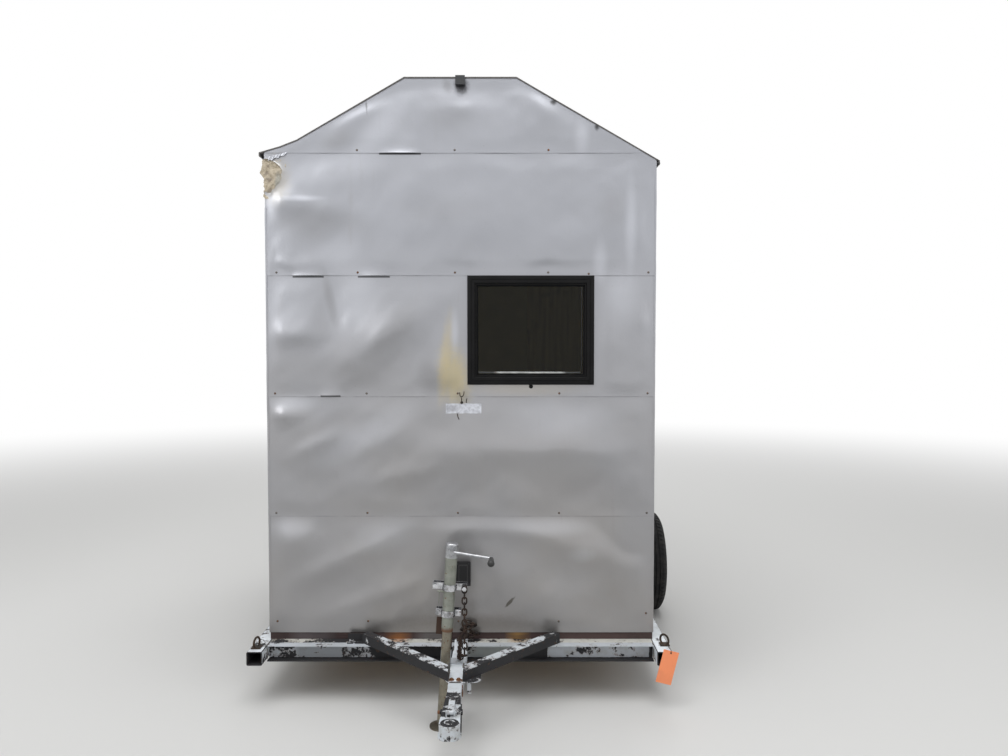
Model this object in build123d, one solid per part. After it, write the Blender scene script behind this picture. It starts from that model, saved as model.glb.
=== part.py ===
from build123d import *
import math
import os

# Ice fishing hut on a two-wheel trailer frame. Millimetres, +Z up, front wall towards -Y.
# The origin is on the ground under the middle of the whole outline.

# Hut shell, over the siding
hut_width = 1829.0
hut_length = 2438.0
shell_bottom = 300.0
shell_height = 2606.0
wall_thickness = 46.0
roof_thickness = 45.0
roof_flat_half = 261.0
roof_pitch = 29.9
kick_run = 152.5
kick_second_run = 72.5
kick_middle_rise = 15.0
kick_eave_rise = 36.0

# Aluminium siding, lapped courses
sheet_thickness = 1.5
first_course = 560.0
course_exposure = 568.0
course_lap = 25.0

# Roof covering
covering_thickness = 6.0
covering_end_lap = 8.0
left_eave_lap = 24.0
right_eave_lap = 14.0
eave_hem = 12.0

# Torn siding at the left front corner
tear_width = 92.0
tear_height = 174.0
tear_drop = 45.0

# Floor
floor_thickness = 33.0

# Window in the front wall
window_left = 31.0
window_width = 595.0
window_sill_height = 1183.0
window_height = 512.0
window_border = 45.0
window_flange_cover = 20.0
window_flange = 14.0
window_step = 8.0
window_depth = 40.0
sleeve_gap = 3.0
glass_setback = 18.0
glass_thickness = 4.0
glass_gap = 2.0

# Door in the rear wall
door_width = 760.0
door_height = 1830.0
door_offset = 0.0
door_gap = 3.0
door_lip = 22.0
door_lip_thickness = 12.0
hinge_length = 230.0
hinge_height = 38.0
hinge_thickness = 5.0
hinge_inset = 260.0
hinge_leaf = 40.0
knuckle_radius = 8.0
handle_height = 950.0
handle_inset = 60.0
handle_reach = 26.0
handle_length = 150.0
handle_radius = 6.0
handle_foot_inset = 12.0

# Trailer frame
frame_top = shell_bottom - floor_thickness
rail_width = 72.0
rail_height = 64.0
rail_wall = 4.8
rail_corner = 7.0
rail_under = 10.5
rail_front = 165.0
rear_overhang = 60.0
beam_front = 87.0
beam_flange = 41.0
beam_height = 75.0
beam_wall = 5.0
ledger_height = 38.0
ledger_under = 30.0
cross_height = 50.0
cross_width = 50.0
tongue_width = 63.0
tongue_wall = 3.2
tongue_corner = 3.0
tongue_front = 496.0
brace_leg = 44.5
brace_wall = 5.0
brace_outer_x = 450.0
brace_outer_y = 34.0
brace_inner_y = 460.0
cleat_length = 85.0
cleat_height = 38.0
cleat_foot = 32.0
end_plate_width = 74.0
end_plate_back = 357.0
end_plate_front = 494.0
end_plate_corner = 30.0
tab_start = 17.0
tab_width = 17.0
tab_drop = 52.0
tab_front = 480.0

# Coupler
coupler_reach = 898.0
coupler_shank = 56.0
coupler_head = 80.0
coupler_height = 52.0
coupler_wall = 4.0
coupler_inside = 80.0
shank_length = 90.0
rim_out = 4.5
rim_height = 5.0
ball_radius = 25.4
ball_clearance = 0.8
socket_wall = 5.0
dome_radius = 36.0
dome_blend = 3.0
coupler_bolt_radius = 6.5
coupler_bolt_front = 712.0
coupler_bolt_proud = 8.0
coupler_nut_radius = 12.0
coupler_nut_height = 11.0
coupler_bolt_tail = 12.0
latch_front = 803.0
latch_length = 145.0
latch_width = 24.0
latch_thickness = 6.0
latch_eye = 9.0
latch_pin_radius = 4.0
latch_lug = 5.0
latch_gap = 1.0
latch_lift = 14.5

# Wheels
axle_back = 1289.0
tyre_radius = 305.0
tyre_width = 178.0
tyre_gap = 36.0
tyre_shoulder = 24.0
tyre_crown = 4.0
bead_seat = 1.0
bead_ridge = 4.0
sidewall_rise = 27.0
sidewall_tuck = 6.0
tread_edge = 36.0
groove_width = 7.0
groove_depth = 6.0
groove_offsets = (-36.0, -12.0, 12.0, 36.0)
rim_radius = 165.0
rim_flange = 178.0
rim_width = 132.0
rim_wall = 4.0
bead_gap = 0.3
web_thickness = 6.0
web_rise = 22.0
web_rise_radius = 108.0
vent_radius = 11.0
vent_circle = 128.0
vent_count = 8
spindle_radius = 15.0
spindle_shoulder = 8.0
spindle_tip_gap = 4.0
spindle_seat_gap = 2.0
running_gap = 0.05
hub_radius = 36.0
hub_flange_radius = 68.0
hub_flange = 10.0
hub_inboard = 70.0
hub_outboard = 42.0
hub_cap_radius = 29.0
hub_cap_length = 16.0
stud_circle = 49.0
stud_count = 5
stud_radius = 6.5
stud_gap = 0.5
nut_radius = 10.0
nut_height = 14.0
bracket_thickness = 10.0
bracket_half_width = 140.0
bracket_ear = 45.0
bracket_rise = 42.0

# Tongue jack, sizes along its own leaning axis from the ground
jack_front = 330.0
jack_lean = 3.5
jack_side_gap = 3.0
jack_tube_radius = 25.5
jack_tube_bore = 22.5
jack_tube_low = 425.0
jack_tube_high = 748.0
jack_head_radius = 27.5
jack_head_high = 812.0
ram_radius = 20.5
ram_gap = 0.3
ram_foot_radius = 52.0
ram_foot_thickness = 6.0
ram_engaged = 62.0
collar_height = 22.0
crank_height = 786.0
crank_reach = 174.0
crank_drop = 5.7
crank_plane = 58.0
crank_rod_radius = 6.0
crank_shaft_radius = 8.0
crank_shaft_stop = 8.0
crank_hub_radius = 13.0
crank_boss_wall = 3.0
boss_gap = 6.0
head_rounding = 8.0
knob_extra = 4.0
crank_end_gap = 0.5
grip_radius = 15.0
grip_neck = 10.0
grip_length = 86.0
clamp_upper = 620.0
clamp_lower = 505.0
clamp_height = 28.0
clamp_wall = 6.0
clamp_ear = 8.0
clamp_ear_front = 4.0
clamp_plate = 5.0
clamp_upper_span = 150.0
clamp_lower_span = 110.0
clamp_bolt_radius = 6.0
clamp_bolt_inset = 10.0
clamp_bolt_proud = 26.0
bolt_head_radius = 10.5
bolt_head_height = 7.0
bolt_sides = 6
post_width = 46.0
post_thickness = 9.0
post_ear_width = 27.0
post_ear_low = 400.0
post_ear_high = 474.0
post_shelf = 60.0
pin_radius = 4.0
pin_height = 597.0
pin_proud = 26.0
clip_wire = 2.0
clip_length = 58.0
clip_width = 16.0
clip_inset = 8.0

# Tie rings and the tag wired to the right one
left_ring_front = 110.0
left_ring_side = 40.0
left_ring_turn = 74.0
right_ring_front = 74.0
right_ring_side = 50.0
right_ring_turn = -50.0
ring_radius = 24.0
ring_wire = 5.0
ring_sides = 8
ring_base = 44.0
ring_sink = 3.0
tag_width = 72.0
tag_length = 155.0
tag_thickness = 1.5
tag_tilt = 14.0
tag_rise = 5.0
tag_side = 65.0
tag_hole_radius = 4.0
tag_hole_inset = 10.0
tag_wire = 1.4
tag_over = 8.0

# Safety chain
link_wire = 7.0
link_length = 38.0
link_width = 26.0
link_bite = 0.6
link_roll = 45.0
chain_lie = 14.0
chain_bolt_front = 16.0
heap_left = -13.0
heap_right = 84.0
heap_top_left = 14.0
heap_top_right = 66.0
heap_layer = 21.0
heap_layers = 5

# Black box on the wall and dark block at the top of the front wall
box_left = -25.0
box_width = 70.0
box_above_shell = 233.0
box_height = 114.0
box_depth = 32.0
box_lid = 5.0
box_lid_inset = 4.0
ridge_block_width = 44.0
ridge_block_height = 42.0
ridge_block_depth = 26.0
ridge_block_rise = 2.0

# Places along the length, from the overall outline
total_length = coupler_reach + hut_length + rear_overhang
wall_front = coupler_reach - total_length / 2
wall_rear = wall_front + hut_length
skin_depth = 2 * sheet_thickness
core_half = hut_width / 2 - skin_depth
core_front = wall_front + skin_depth
core_rear = wall_rear - skin_depth
rail_bottom = frame_top - rail_height
rail_inset = hut_width / 2 - rail_under
rail_outer = rail_inset + rail_width
roof_flat_height = shell_bottom + shell_height
pitch = math.radians(roof_pitch)
kick_start = hut_width / 2 - kick_run
kick_middle = hut_width / 2 - kick_second_run
window_bottom = shell_bottom + window_sill_height
door_left = door_offset - door_width / 2
axle_y = wall_front + axle_back
axle_z = tyre_radius
wheel_x = rail_outer + tyre_gap + tyre_width / 2
lean = math.radians(jack_lean)
stretch = 1 / math.cos(lean)
coupler_top = frame_top - tongue_wall
coupler_low = coupler_top - coupler_height
ball_y = wall_front - coupler_reach + coupler_head / 2
ball_z = coupler_low + ball_radius
jack_y = wall_front - jack_front
jack_beside = tongue_width / 2 + jack_side_gap + ram_radius / math.cos(lean)
jack_ground_x = -jack_beside - frame_top * math.tan(lean)
tyre_bead = rim_radius + bead_gap
tyre_tread = tyre_radius - tyre_crown
shoulder_start = tyre_radius - tyre_shoulder
cut_margin = 5.0


def block(x0, x1, y0, y1, z0, z1):
    """A box between two corners."""
    return Pos(x0, y0, z0) * Box(x1 - x0, y1 - y0, z1 - z0, align=(Align.MIN, Align.MIN, Align.MIN))


def prism_y(points, y_from, y_to):
    """An outline of (x, z) points carried from y_from back to y_to."""
    face = Plane.XZ.offset(-y_from) * make_face(Polyline(*points, close=True))
    return extrude(face, amount=-(y_to - y_from))


def prism_x(points, x_from, x_to):
    """An outline of (y, z) points carried from x_from right to x_to."""
    face = Plane.YZ.offset(x_from) * make_face(Polyline(*points, close=True))
    return extrude(face, amount=x_to - x_from)


def prism_z(points, z_from, z_to):
    """An outline of (x, y) points carried up from z_from to z_to."""
    face = Plane.XY.offset(z_from) * make_face(Polyline(*points, close=True))
    return extrude(face, amount=z_to - z_from)


def rod_x(radius, x0, x1, y, z):
    """A round bar along X."""
    return Pos((x0 + x1) / 2, y, z) * Rot(0, 90, 0) * Cylinder(radius, x1 - x0)


def rod_y(radius, y0, y1, x, z):
    """A round bar along Y."""
    return Pos(x, (y0 + y1) / 2, z) * Rot(90, 0, 0) * Cylinder(radius, y1 - y0)


def roof_line(distance, depth=0.0):
    """Height of the straight slope at a distance from the centre, or of a line that deep under it."""
    return roof_flat_height - depth / math.cos(pitch) - (distance - roof_flat_half) * math.tan(pitch)


def break_point(depth):
    """Where the slope meets the flat top, on a line that deep under the roof's outline."""
    return roof_flat_half - depth * math.tan(pitch / 2), roof_flat_height - depth


def left_slope(distance):
    """The left edge of the roof from the flat top out to a distance, past where it kicks outwards."""
    middle = roof_line(kick_middle) + kick_middle_rise
    eave = roof_line(hut_width / 2) + kick_eave_rise
    fall = (middle - eave) / (hut_width / 2 - kick_middle)
    return [
        (-roof_flat_half, roof_flat_height),
        (-kick_start, roof_line(kick_start)),
        (-kick_middle, middle),
        (-distance, middle - (distance - kick_middle) * fall),
    ]


def gable(half_width, bottom):
    """The outline of an end wall."""
    return [
        (-half_width, bottom),
        (half_width, bottom),
        (half_width, roof_line(half_width)),
        (roof_flat_half, roof_flat_height),
    ] + left_slope(half_width)


def lapped_profile(low, high):
    """Side view of lapped sheets as (depth, height) outlines: each lies over the top of the one below."""
    courses = []
    bottom = low
    exposure = first_course
    while bottom < high:
        top = min(bottom + exposure + course_lap, high)
        courses.append([
            (sheet_thickness, bottom),
            (skin_depth, bottom),
            (sheet_thickness, top),
            (0.0, top),
        ])
        bottom += exposure
        exposure = course_exposure
    return courses


def siding_along_x(low, high, x0, x1, plane_y, outward):
    """Lapped sheets on a wall that faces along Y, as one solid."""
    sheets = None
    for outline in lapped_profile(low, high):
        points = [(plane_y + outward * depth, height) for depth, height in outline]
        sheet = prism_x(points, x0, x1)
        sheets = sheet if sheets is None else sheets + sheet
    return sheets


def siding_along_y(low, high, y0, y1, plane_x, outward):
    """Lapped sheets on a side wall, as one solid."""
    sheets = None
    for outline in lapped_profile(low, high):
        points = [(plane_x + outward * depth, height) for depth, height in outline]
        sheet = prism_y(points, y0, y1)
        sheets = sheet if sheets is None else sheets + sheet
    return sheets


def tube_along_y(x0, x1, y0, y1, z0, z1, wall, corner):
    """A rectangular steel tube along Y with rounded edges, open at both ends."""
    outer = fillet(block(x0, x1, y0, y1, z0, z1).edges().filter_by(Axis.Y), corner)
    return outer - block(x0 + wall, x1 - wall, y0 - 1, y1 + 1, z0 + wall, z1 - wall)


def rod_between(start, end, radius):
    """A round bar from one point to another."""
    run = end - start
    return Plane(origin=start, z_dir=run) * Cylinder(
        radius, run.length, align=(Align.CENTER, Align.CENTER, Align.MIN))


def hex_y(radius, y0, y1, x, z):
    """A six-sided head or nut along Y."""
    return Pos(x, y1, z) * Rot(90, 0, 0) * extrude(RegularPolygon(radius, bolt_sides), amount=y1 - y0)


def hex_x(radius, x0, x1, y, z):
    """A six-sided head or nut along X."""
    return Pos(x0, y, z) * Rot(0, 90, 0) * extrude(RegularPolygon(radius, bolt_sides), amount=x1 - x0)


def chain_link():
    """One flat link, long way along Z."""
    outer = SlotOverall(link_length, link_width, rotation=90)
    inner = SlotOverall(link_length - 2 * link_wire, link_width - 2 * link_wire, rotation=90)
    return Rot(90, 0, 0) * extrude(outer - inner, amount=link_wire / 2, both=True)


def window_hole():
    """The hole that the window passes through, in the wall and its siding."""
    cover = window_flange_cover
    return block(
        window_left + cover, window_left + window_width - cover,
        wall_front - cut_margin, core_front + wall_thickness + cut_margin,
        window_bottom + cover, window_bottom + window_height - cover)


def door_hole():
    """The doorway in the rear wall and its siding."""
    return block(
        door_left, door_left + door_width,
        core_rear - wall_thickness - cut_margin, wall_rear + cut_margin,
        shell_bottom - cut_margin, shell_bottom + door_height)


def make_floor():
    """Sill boards under the four walls and the floor panel between them."""
    inner = core_half - wall_thickness
    y_in, y_out = core_front + wall_thickness, core_rear - wall_thickness
    return {
        "front_sill": block(-core_half, core_half, core_front, y_in, frame_top, shell_bottom),
        "rear_sill": block(-core_half, core_half, y_out, core_rear, frame_top, shell_bottom),
        "left_sill": block(-core_half, -inner, y_in, y_out, frame_top, shell_bottom),
        "right_sill": block(inner, core_half, y_in, y_out, frame_top, shell_bottom),
        "floor_deck": block(-inner, inner, y_in, y_out, frame_top, shell_bottom),
    }


def make_walls():
    """The four insulated walls under the siding."""
    front = prism_y(gable(core_half, shell_bottom), core_front, core_front + wall_thickness)
    front -= window_hole()
    rear = prism_y(gable(core_half, shell_bottom), core_rear - wall_thickness, core_rear)
    rear -= door_hole()
    inner = core_half - wall_thickness
    side = [
        (inner, shell_bottom),
        (core_half, shell_bottom),
        (core_half, roof_line(core_half, roof_thickness)),
        (inner, roof_line(inner, roof_thickness)),
    ]
    y0 = core_front + wall_thickness
    y1 = core_rear - wall_thickness
    right = prism_y(side, y0, y1)
    left = prism_y([(-x, z) for x, z in side], y0, y1)
    return {"front_wall": front, "rear_wall": rear, "left_wall": left, "right_wall": right}


def make_roof():
    """Three roof panels between the end walls, and the bent covering over all of them."""
    y0 = core_front + wall_thickness
    y1 = core_rear - wall_thickness
    break_x, break_z = break_point(roof_thickness)
    top = [
        (-break_x, break_z), (break_x, break_z),
        (roof_flat_half, roof_flat_height), (-roof_flat_half, roof_flat_height),
    ]
    right = [
        (break_x, break_z),
        (core_half, roof_line(core_half, roof_thickness)),
        (core_half, roof_line(core_half)),
        (roof_flat_half, roof_flat_height),
    ]
    left = [
        (-break_x, break_z),
        (-core_half, roof_line(core_half, roof_thickness)),
    ] + list(reversed(left_slope(core_half)))
    return {
        "roof_top_panel": prism_y(top, y0, y1),
        "roof_right_panel": prism_y(right, y0, y1),
        "roof_left_panel": prism_y(left, y0, y1),
        "roof_covering": make_covering(),
    }


def make_covering():
    """Thin dark covering that follows the roof's outline, with a short hem at each eave."""
    left_end = hut_width / 2 + left_eave_lap
    right_end = hut_width / 2 + right_eave_lap
    low = list(reversed(left_slope(left_end)))
    low += [(roof_flat_half, roof_flat_height), (right_end, roof_line(right_end))]
    lift = covering_thickness
    high = [(x, z + lift) for x, z in reversed(low)]
    sheet = prism_y(low + high, wall_front - covering_end_lap, wall_rear + covering_end_lap)
    for x0, x1, z in (
        (-left_end, -left_end + covering_thickness, low[0][1]),
        (right_end - covering_thickness, right_end, low[-1][1]),
    ):
        hem = block(x0, x1, wall_front - covering_end_lap, wall_rear + covering_end_lap,
                    z - eave_hem, z + covering_thickness)
        sheet += hem
    return sheet


def make_siding():
    """Lapped aluminium sheets on the four walls."""
    edge = hut_width / 2
    shape = gable(edge, shell_bottom)
    front = siding_along_x(shell_bottom, roof_flat_height, -edge, edge, core_front, -1)
    front &= prism_y(shape, wall_front - cut_margin, core_front + cut_margin)
    front = front - window_hole() - corner_tear()
    rear = siding_along_x(shell_bottom, roof_flat_height, -edge, edge, core_rear, 1)
    rear &= prism_y(shape, core_rear - cut_margin, wall_rear + cut_margin)
    rear -= door_hole()
    left_top = left_slope(edge)[-1][1]
    left = siding_along_y(shell_bottom, left_top, core_front, core_rear, -core_half, -1)
    right = siding_along_y(shell_bottom, roof_line(edge), core_front, core_rear, core_half, 1)
    return {"front_siding": front, "rear_siding": rear, "left_siding": left, "right_siding": right}


def corner_tear():
    """Ragged piece that is missing from the front siding's top left corner."""
    edge = -hut_width / 2
    top = left_slope(hut_width / 2)[-1][1] - tear_drop
    ragged = [
        (-0.06, 0.0), (0.42, 0.05), (1.0, 0.34), (0.78, 0.68), (0.5, 0.86), (0.3, 1.0), (-0.06, 0.83),
    ]
    points = [(edge + across * tear_width, top - down * tear_height) for across, down in ragged]
    return prism_y(points, wall_front - cut_margin, core_front)


def make_window():
    """Black framed fixed window: a flange over the siding, a sleeve through the wall, and its glass."""
    x0, x1 = window_left, window_left + window_width
    z0, z1 = window_bottom, window_bottom + window_height
    y_flange = wall_front - window_flange
    y_back = y_flange + window_depth
    y_glass = y_flange + glass_setback
    sleeve = window_flange_cover + sleeve_gap
    border = window_border
    rebate = border - window_step
    edge = rebate + glass_gap
    frame = block(x0, x1, y_flange, wall_front, z0, z1)
    frame += block(x0 + sleeve, x1 - sleeve, wall_front, y_back, z0 + sleeve, z1 - sleeve)
    frame -= block(x0 + border, x1 - border, y_flange - 1, y_back + 1, z0 + border, z1 - border)
    frame -= block(x0 + rebate, x1 - rebate, y_glass, y_back + 1, z0 + rebate, z1 - rebate)
    glass = block(x0 + edge, x1 - edge, y_glass, y_glass + glass_thickness, z0 + edge, z1 - edge)
    return {"window_frame": frame, "window_glass": glass}


def make_door():
    """Closed door leaf in the rear wall with a lip round it, two strap hinges and a pull handle."""
    x0, x1 = door_left + door_gap, door_left + door_width - door_gap
    z0, z1 = shell_bottom + door_gap, shell_bottom + door_height - door_gap
    face = wall_rear + door_lip_thickness
    hinge_x = x1 + door_lip
    leaf = block(x0, x1, core_rear - wall_thickness, wall_rear, z0, z1)
    leaf += block(x0 - door_lip, hinge_x, wall_rear, face, z0, z1 + door_lip)
    nodes = {"rear_door": leaf}
    for name, height in (("lower_hinge", z0 + hinge_inset), ("upper_hinge", z1 - hinge_inset)):
        low, high = height - hinge_height / 2, height + hinge_height / 2
        hinge = block(hinge_x - hinge_length, hinge_x, face, face + hinge_thickness, low, high)
        hinge += block(hinge_x, hinge_x + hinge_leaf, wall_rear, face + hinge_thickness, low, high)
        hinge += Pos(hinge_x, face + knuckle_radius, height) * Cylinder(knuckle_radius, hinge_height)
        nodes[name] = hinge
    grip_x = x0 + handle_inset
    grip_z = shell_bottom + handle_height
    bar = face + handle_reach - handle_radius
    grip = Pos(grip_x, bar, grip_z) * Cylinder(handle_radius, handle_length)
    for end in (-1, 1):
        foot_z = grip_z + end * (handle_length / 2 - handle_foot_inset)
        grip += rod_y(handle_radius - 1, face, bar, grip_x, foot_z)
    nodes["door_handle"] = grip
    return nodes


def make_frame():
    """Trailer frame: two side rails, cross members, front channel, ledgers, tongue and braces."""
    rail_y = (wall_front - rail_front, wall_rear + rear_overhang)
    half = tongue_width / 2
    beam_y = wall_front - beam_front
    web = beam_y + beam_flange
    beam_low = frame_top - beam_height
    channel = [
        (web, beam_low), (web, frame_top), (beam_y, frame_top), (beam_y, frame_top - beam_wall),
        (web - beam_wall, frame_top - beam_wall), (web - beam_wall, beam_low + beam_wall),
        (beam_y, beam_low + beam_wall), (beam_y, beam_low),
    ]
    beam = prism_x(channel, -rail_inset, rail_inset)
    beam -= block(-half, half, beam_y - 1, web + 1, frame_top - tongue_width, frame_top + 1)
    ledger_back = wall_front + ledger_under
    ledger_low = frame_top - ledger_height
    nodes = {
        "right_rail": tube_along_y(
            rail_inset, rail_outer, *rail_y, rail_bottom, frame_top, rail_wall, rail_corner),
        "left_rail": tube_along_y(
            -rail_outer, -rail_inset, *rail_y, rail_bottom, frame_top, rail_wall, rail_corner),
        "front_crossbeam": beam,
        "right_ledger": block(half, rail_inset, web, ledger_back, ledger_low, frame_top),
        "left_ledger": block(-rail_inset, -half, web, ledger_back, ledger_low, frame_top),
        "tongue": tube_along_y(
            -half, half, wall_front - tongue_front, axle_y - cross_width / 2,
            frame_top - tongue_width, frame_top, tongue_wall, tongue_corner),
        "right_brace": make_brace(1),
        "left_brace": make_brace(-1),
    }
    for name, y in (("middle_cross_member", axle_y), ("rear_cross_member", wall_rear - cross_width)):
        tube = Box(2 * rail_inset, cross_width, cross_height)
        tube -= Box(2 * rail_inset + 2, cross_width - 2 * beam_wall, cross_height - 2 * beam_wall)
        nodes[name] = Pos(0, y, frame_top - cross_height / 2) * tube
    return nodes


def make_brace(side):
    """Angle iron that stands on the front channel and on a plate beside the tongue, mitred at both ends."""
    half = brace_leg / 2
    start = Vector(side * brace_outer_x, wall_front - brace_outer_y)
    end = Vector(side * tongue_width / 2, wall_front - brace_inner_y)
    along = (end - start).normalized()
    front = Vector(-side * along.Y, side * along.X)
    top = frame_top + brace_leg

    def strip(back, fore):
        """Plan of a strip between two distances from the middle line, cut square outside, mitred inside."""
        outer = [start + front * across for across in (back, fore)]
        inner_y = [start.Y + (across - (end.X - start.X) * front.X) / front.Y for across in (fore, back)]
        return [(point.X, point.Y) for point in outer] + [(end.X, y) for y in inner_y]

    brace = prism_z(strip(-half, half), top - brace_wall, top)
    brace += prism_z(strip(half - brace_wall, half), frame_top, top)
    if side < 0:
        brace += make_cleat(start)
    return brace + make_end_plate(side)


def make_cleat(start):
    """Short angle that holds the left brace's outer end to the channel."""
    right = start.X + brace_leg / 2
    left = start.X - cleat_length
    wall = block(left, right, start.Y, start.Y + brace_wall, frame_top, frame_top + cleat_height)
    foot = block(left, right, start.Y - cleat_foot + brace_wall, start.Y + brace_wall,
                 frame_top, frame_top + brace_wall)
    return wall + foot


def make_end_plate(side):
    """Plate beside the tongue under the brace: rounded, with a tab, on the right and a gusset on the left."""
    inner = side * tongue_width / 2
    outer = inner + side * end_plate_width
    front, back = wall_front - end_plate_front, wall_front - end_plate_back
    low = frame_top - brace_wall
    if side < 0:
        return prism_z([(inner, front), (outer, back), (inner, back)], low, frame_top)
    plate = block(inner, outer, front, back, low, frame_top)
    plate = fillet(plate.edges().filter_by(Axis.Z).sort_by(Axis.X)[-2:], end_plate_corner)
    tab_x = inner + tab_start
    tab_y = wall_front - tab_front
    return plate + block(tab_x, tab_x + tab_width, tab_y, tab_y + brace_wall, low - tab_drop, low)


def plan_half_width(y):
    """Half the coupler's width at a place on its flare."""
    y_shank = wall_front - tongue_front - shank_length
    share = (y_shank - y) / (y_shank - ball_y)
    return (coupler_shank + (coupler_head - coupler_shank) * share) / 2


def make_coupler():
    """Stamped ball coupler, its shank inside the tongue, and the latch lever on top."""
    y_tip = wall_front - coupler_reach
    y_back = wall_front - tongue_front + coupler_inside
    y_shank = wall_front - tongue_front - shank_length

    def plan(inset):
        """Plan outline, inset from the edge: shank, flare and round nose."""
        head = coupler_head / 2 - inset
        shank = coupler_shank / 2 - inset
        left = Line((-shank, y_back), (-shank, y_shank))
        flare = Line(left @ 1, (-head, ball_y))
        nose = ThreePointArc(flare @ 1, (0, y_tip + inset), (head, ball_y))
        back = Line(nose @ 1, (shank, y_shank))
        right = Line(back @ 1, (shank, y_back))
        close = Line(right @ 1, left @ 0)
        return Plane.XY.offset(coupler_low) * make_face([left, flare, nose, back, right, close])

    body = extrude(plan(0), amount=coupler_height)
    body += Pos(0, ball_y, ball_z) * Sphere(dome_radius) & block(
        -dome_radius, dome_radius, ball_y - dome_radius, ball_y + dome_radius, ball_z, ball_z + dome_radius)
    seam = body.edges().filter_by(GeomType.CIRCLE).filter_by(
        lambda edge: abs(edge.center().Z - coupler_top) < dome_blend).sort_by(Axis.Z)[-1]
    body = fillet(seam, dome_blend)
    rim = extrude(plan(-rim_out), amount=rim_height)
    body += rim & block(-coupler_head, coupler_head, y_tip, y_shank, coupler_low, coupler_top)
    body -= extrude(plan(coupler_wall), amount=coupler_height - coupler_wall)
    cup = ball_radius + socket_wall
    place = Pos(0, ball_y, ball_z)
    inside = coupler_top - coupler_wall
    body += place * Sphere(cup) & block(-cup, cup, ball_y - cup, ball_y + cup, ball_z, inside)
    body += Pos(0, ball_y, (coupler_low + ball_z) / 2) * Cylinder(cup, ball_radius)
    bore = ball_radius + ball_clearance
    body -= place * Sphere(bore)
    body -= Pos(0, ball_y, coupler_low) * Cylinder(bore, 2 * ball_radius)
    y_bolt = wall_front - coupler_bolt_front
    z_bolt = (coupler_low + coupler_top) / 2
    nut_inner = plan_half_width(y_bolt)
    nut_outer = nut_inner + coupler_nut_height
    head_end = nut_inner + coupler_bolt_proud
    body += rod_x(coupler_bolt_radius, -nut_outer - coupler_bolt_tail, head_end, y_bolt, z_bolt)
    for x0, x1 in ((-nut_outer, -nut_inner), (nut_inner, head_end)):
        body += hex_x(coupler_nut_radius, x0, x1, y_bolt, z_bolt)

    latch_y = wall_front - latch_front
    latch_z = coupler_top + latch_lift
    inner = latch_width / 2 + latch_gap
    outer = inner + latch_lug
    for x0, x1 in ((-outer, -inner), (inner, outer)):
        body += block(x0, x1, latch_y - latch_eye, latch_y + latch_eye, coupler_top, latch_z + latch_eye)
    pin_end = outer + latch_lug
    body += rod_x(latch_pin_radius, -pin_end, pin_end, latch_y, latch_z)
    half = latch_width / 2
    latch = rod_x(latch_eye, -half, half, latch_y, latch_z)
    latch += block(-half, half, latch_y, latch_y + latch_length,
                   latch_z - latch_thickness / 2, latch_z + latch_thickness / 2)
    latch -= rod_x(latch_pin_radius + running_gap, -half, half, latch_y, latch_z)
    return {"coupler": body, "coupler_latch": latch}


def make_tyre():
    """A tyre about the Y axis: straight side walls, a rounded shoulder and four grooves in the tread."""
    half_rim = rim_width / 2
    half_tyre = tyre_width / 2
    middle = (tyre_bead + tyre_radius) / 2
    flange_edge = half_rim + rim_wall
    side_wall = [
        (tyre_bead, half_rim - rim_wall - bead_seat),
        (rim_flange + bead_seat, half_rim - bead_seat),
        (rim_flange + bead_ridge, flange_edge),
        (middle - sidewall_rise, half_tyre - sidewall_tuck),
        (middle, half_tyre),
        (shoulder_start, half_tyre - sidewall_tuck),
        (tyre_tread - tyre_crown, half_tyre - tyre_shoulder),
        (tyre_tread, half_tyre - tread_edge),
    ]
    profile = side_wall + [(tyre_radius, 0)] + [(r, -x) for r, x in reversed(side_wall)]
    tyre = revolve(make_face(Polyline(*profile, close=True)), axis=Axis.Y)
    for offset in groove_offsets:
        groove = [
            (tyre_tread - groove_depth, offset - groove_width / 2),
            (tyre_radius + 1, offset - groove_width / 2),
            (tyre_radius + 1, offset + groove_width / 2),
            (tyre_tread - groove_depth, offset + groove_width / 2),
        ]
        tyre -= revolve(make_face(Polyline(*groove, close=True)), axis=Axis.Y)
    return tyre


def make_rim():
    """A pressed steel rim about the Y axis with a raised web, vent holes and stud holes."""
    half = rim_width / 2
    well = rim_radius - rim_wall
    outline = [
        (rim_radius, -half + rim_wall), (rim_radius, half - rim_wall),
        (rim_flange, half), (rim_flange, half + rim_wall), (well, half), (well, web_thickness),
        (web_rise_radius, web_thickness + web_rise), (hub_flange_radius, web_thickness),
        (hub_radius, web_thickness), (hub_radius, 0), (hub_flange_radius, 0),
        (web_rise_radius, web_rise), (well, 0), (well, -half),
        (rim_flange, -half - rim_wall), (rim_flange, -half),
    ]
    rim = revolve(make_face(Polyline(*outline, close=True)), axis=Axis.Y)
    for index in range(stud_count):
        hole = rod_y(stud_radius + stud_gap, -1, web_thickness + 1, stud_circle, 0)
        rim -= Rot(0, 360 / stud_count * index, 0) * hole
    for index in range(vent_count):
        hole = rod_y(vent_radius, -1, web_thickness + web_rise + 1, vent_circle, 0)
        rim -= Rot(0, 360 / vent_count * index, 0) * hole
    return rim


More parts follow.
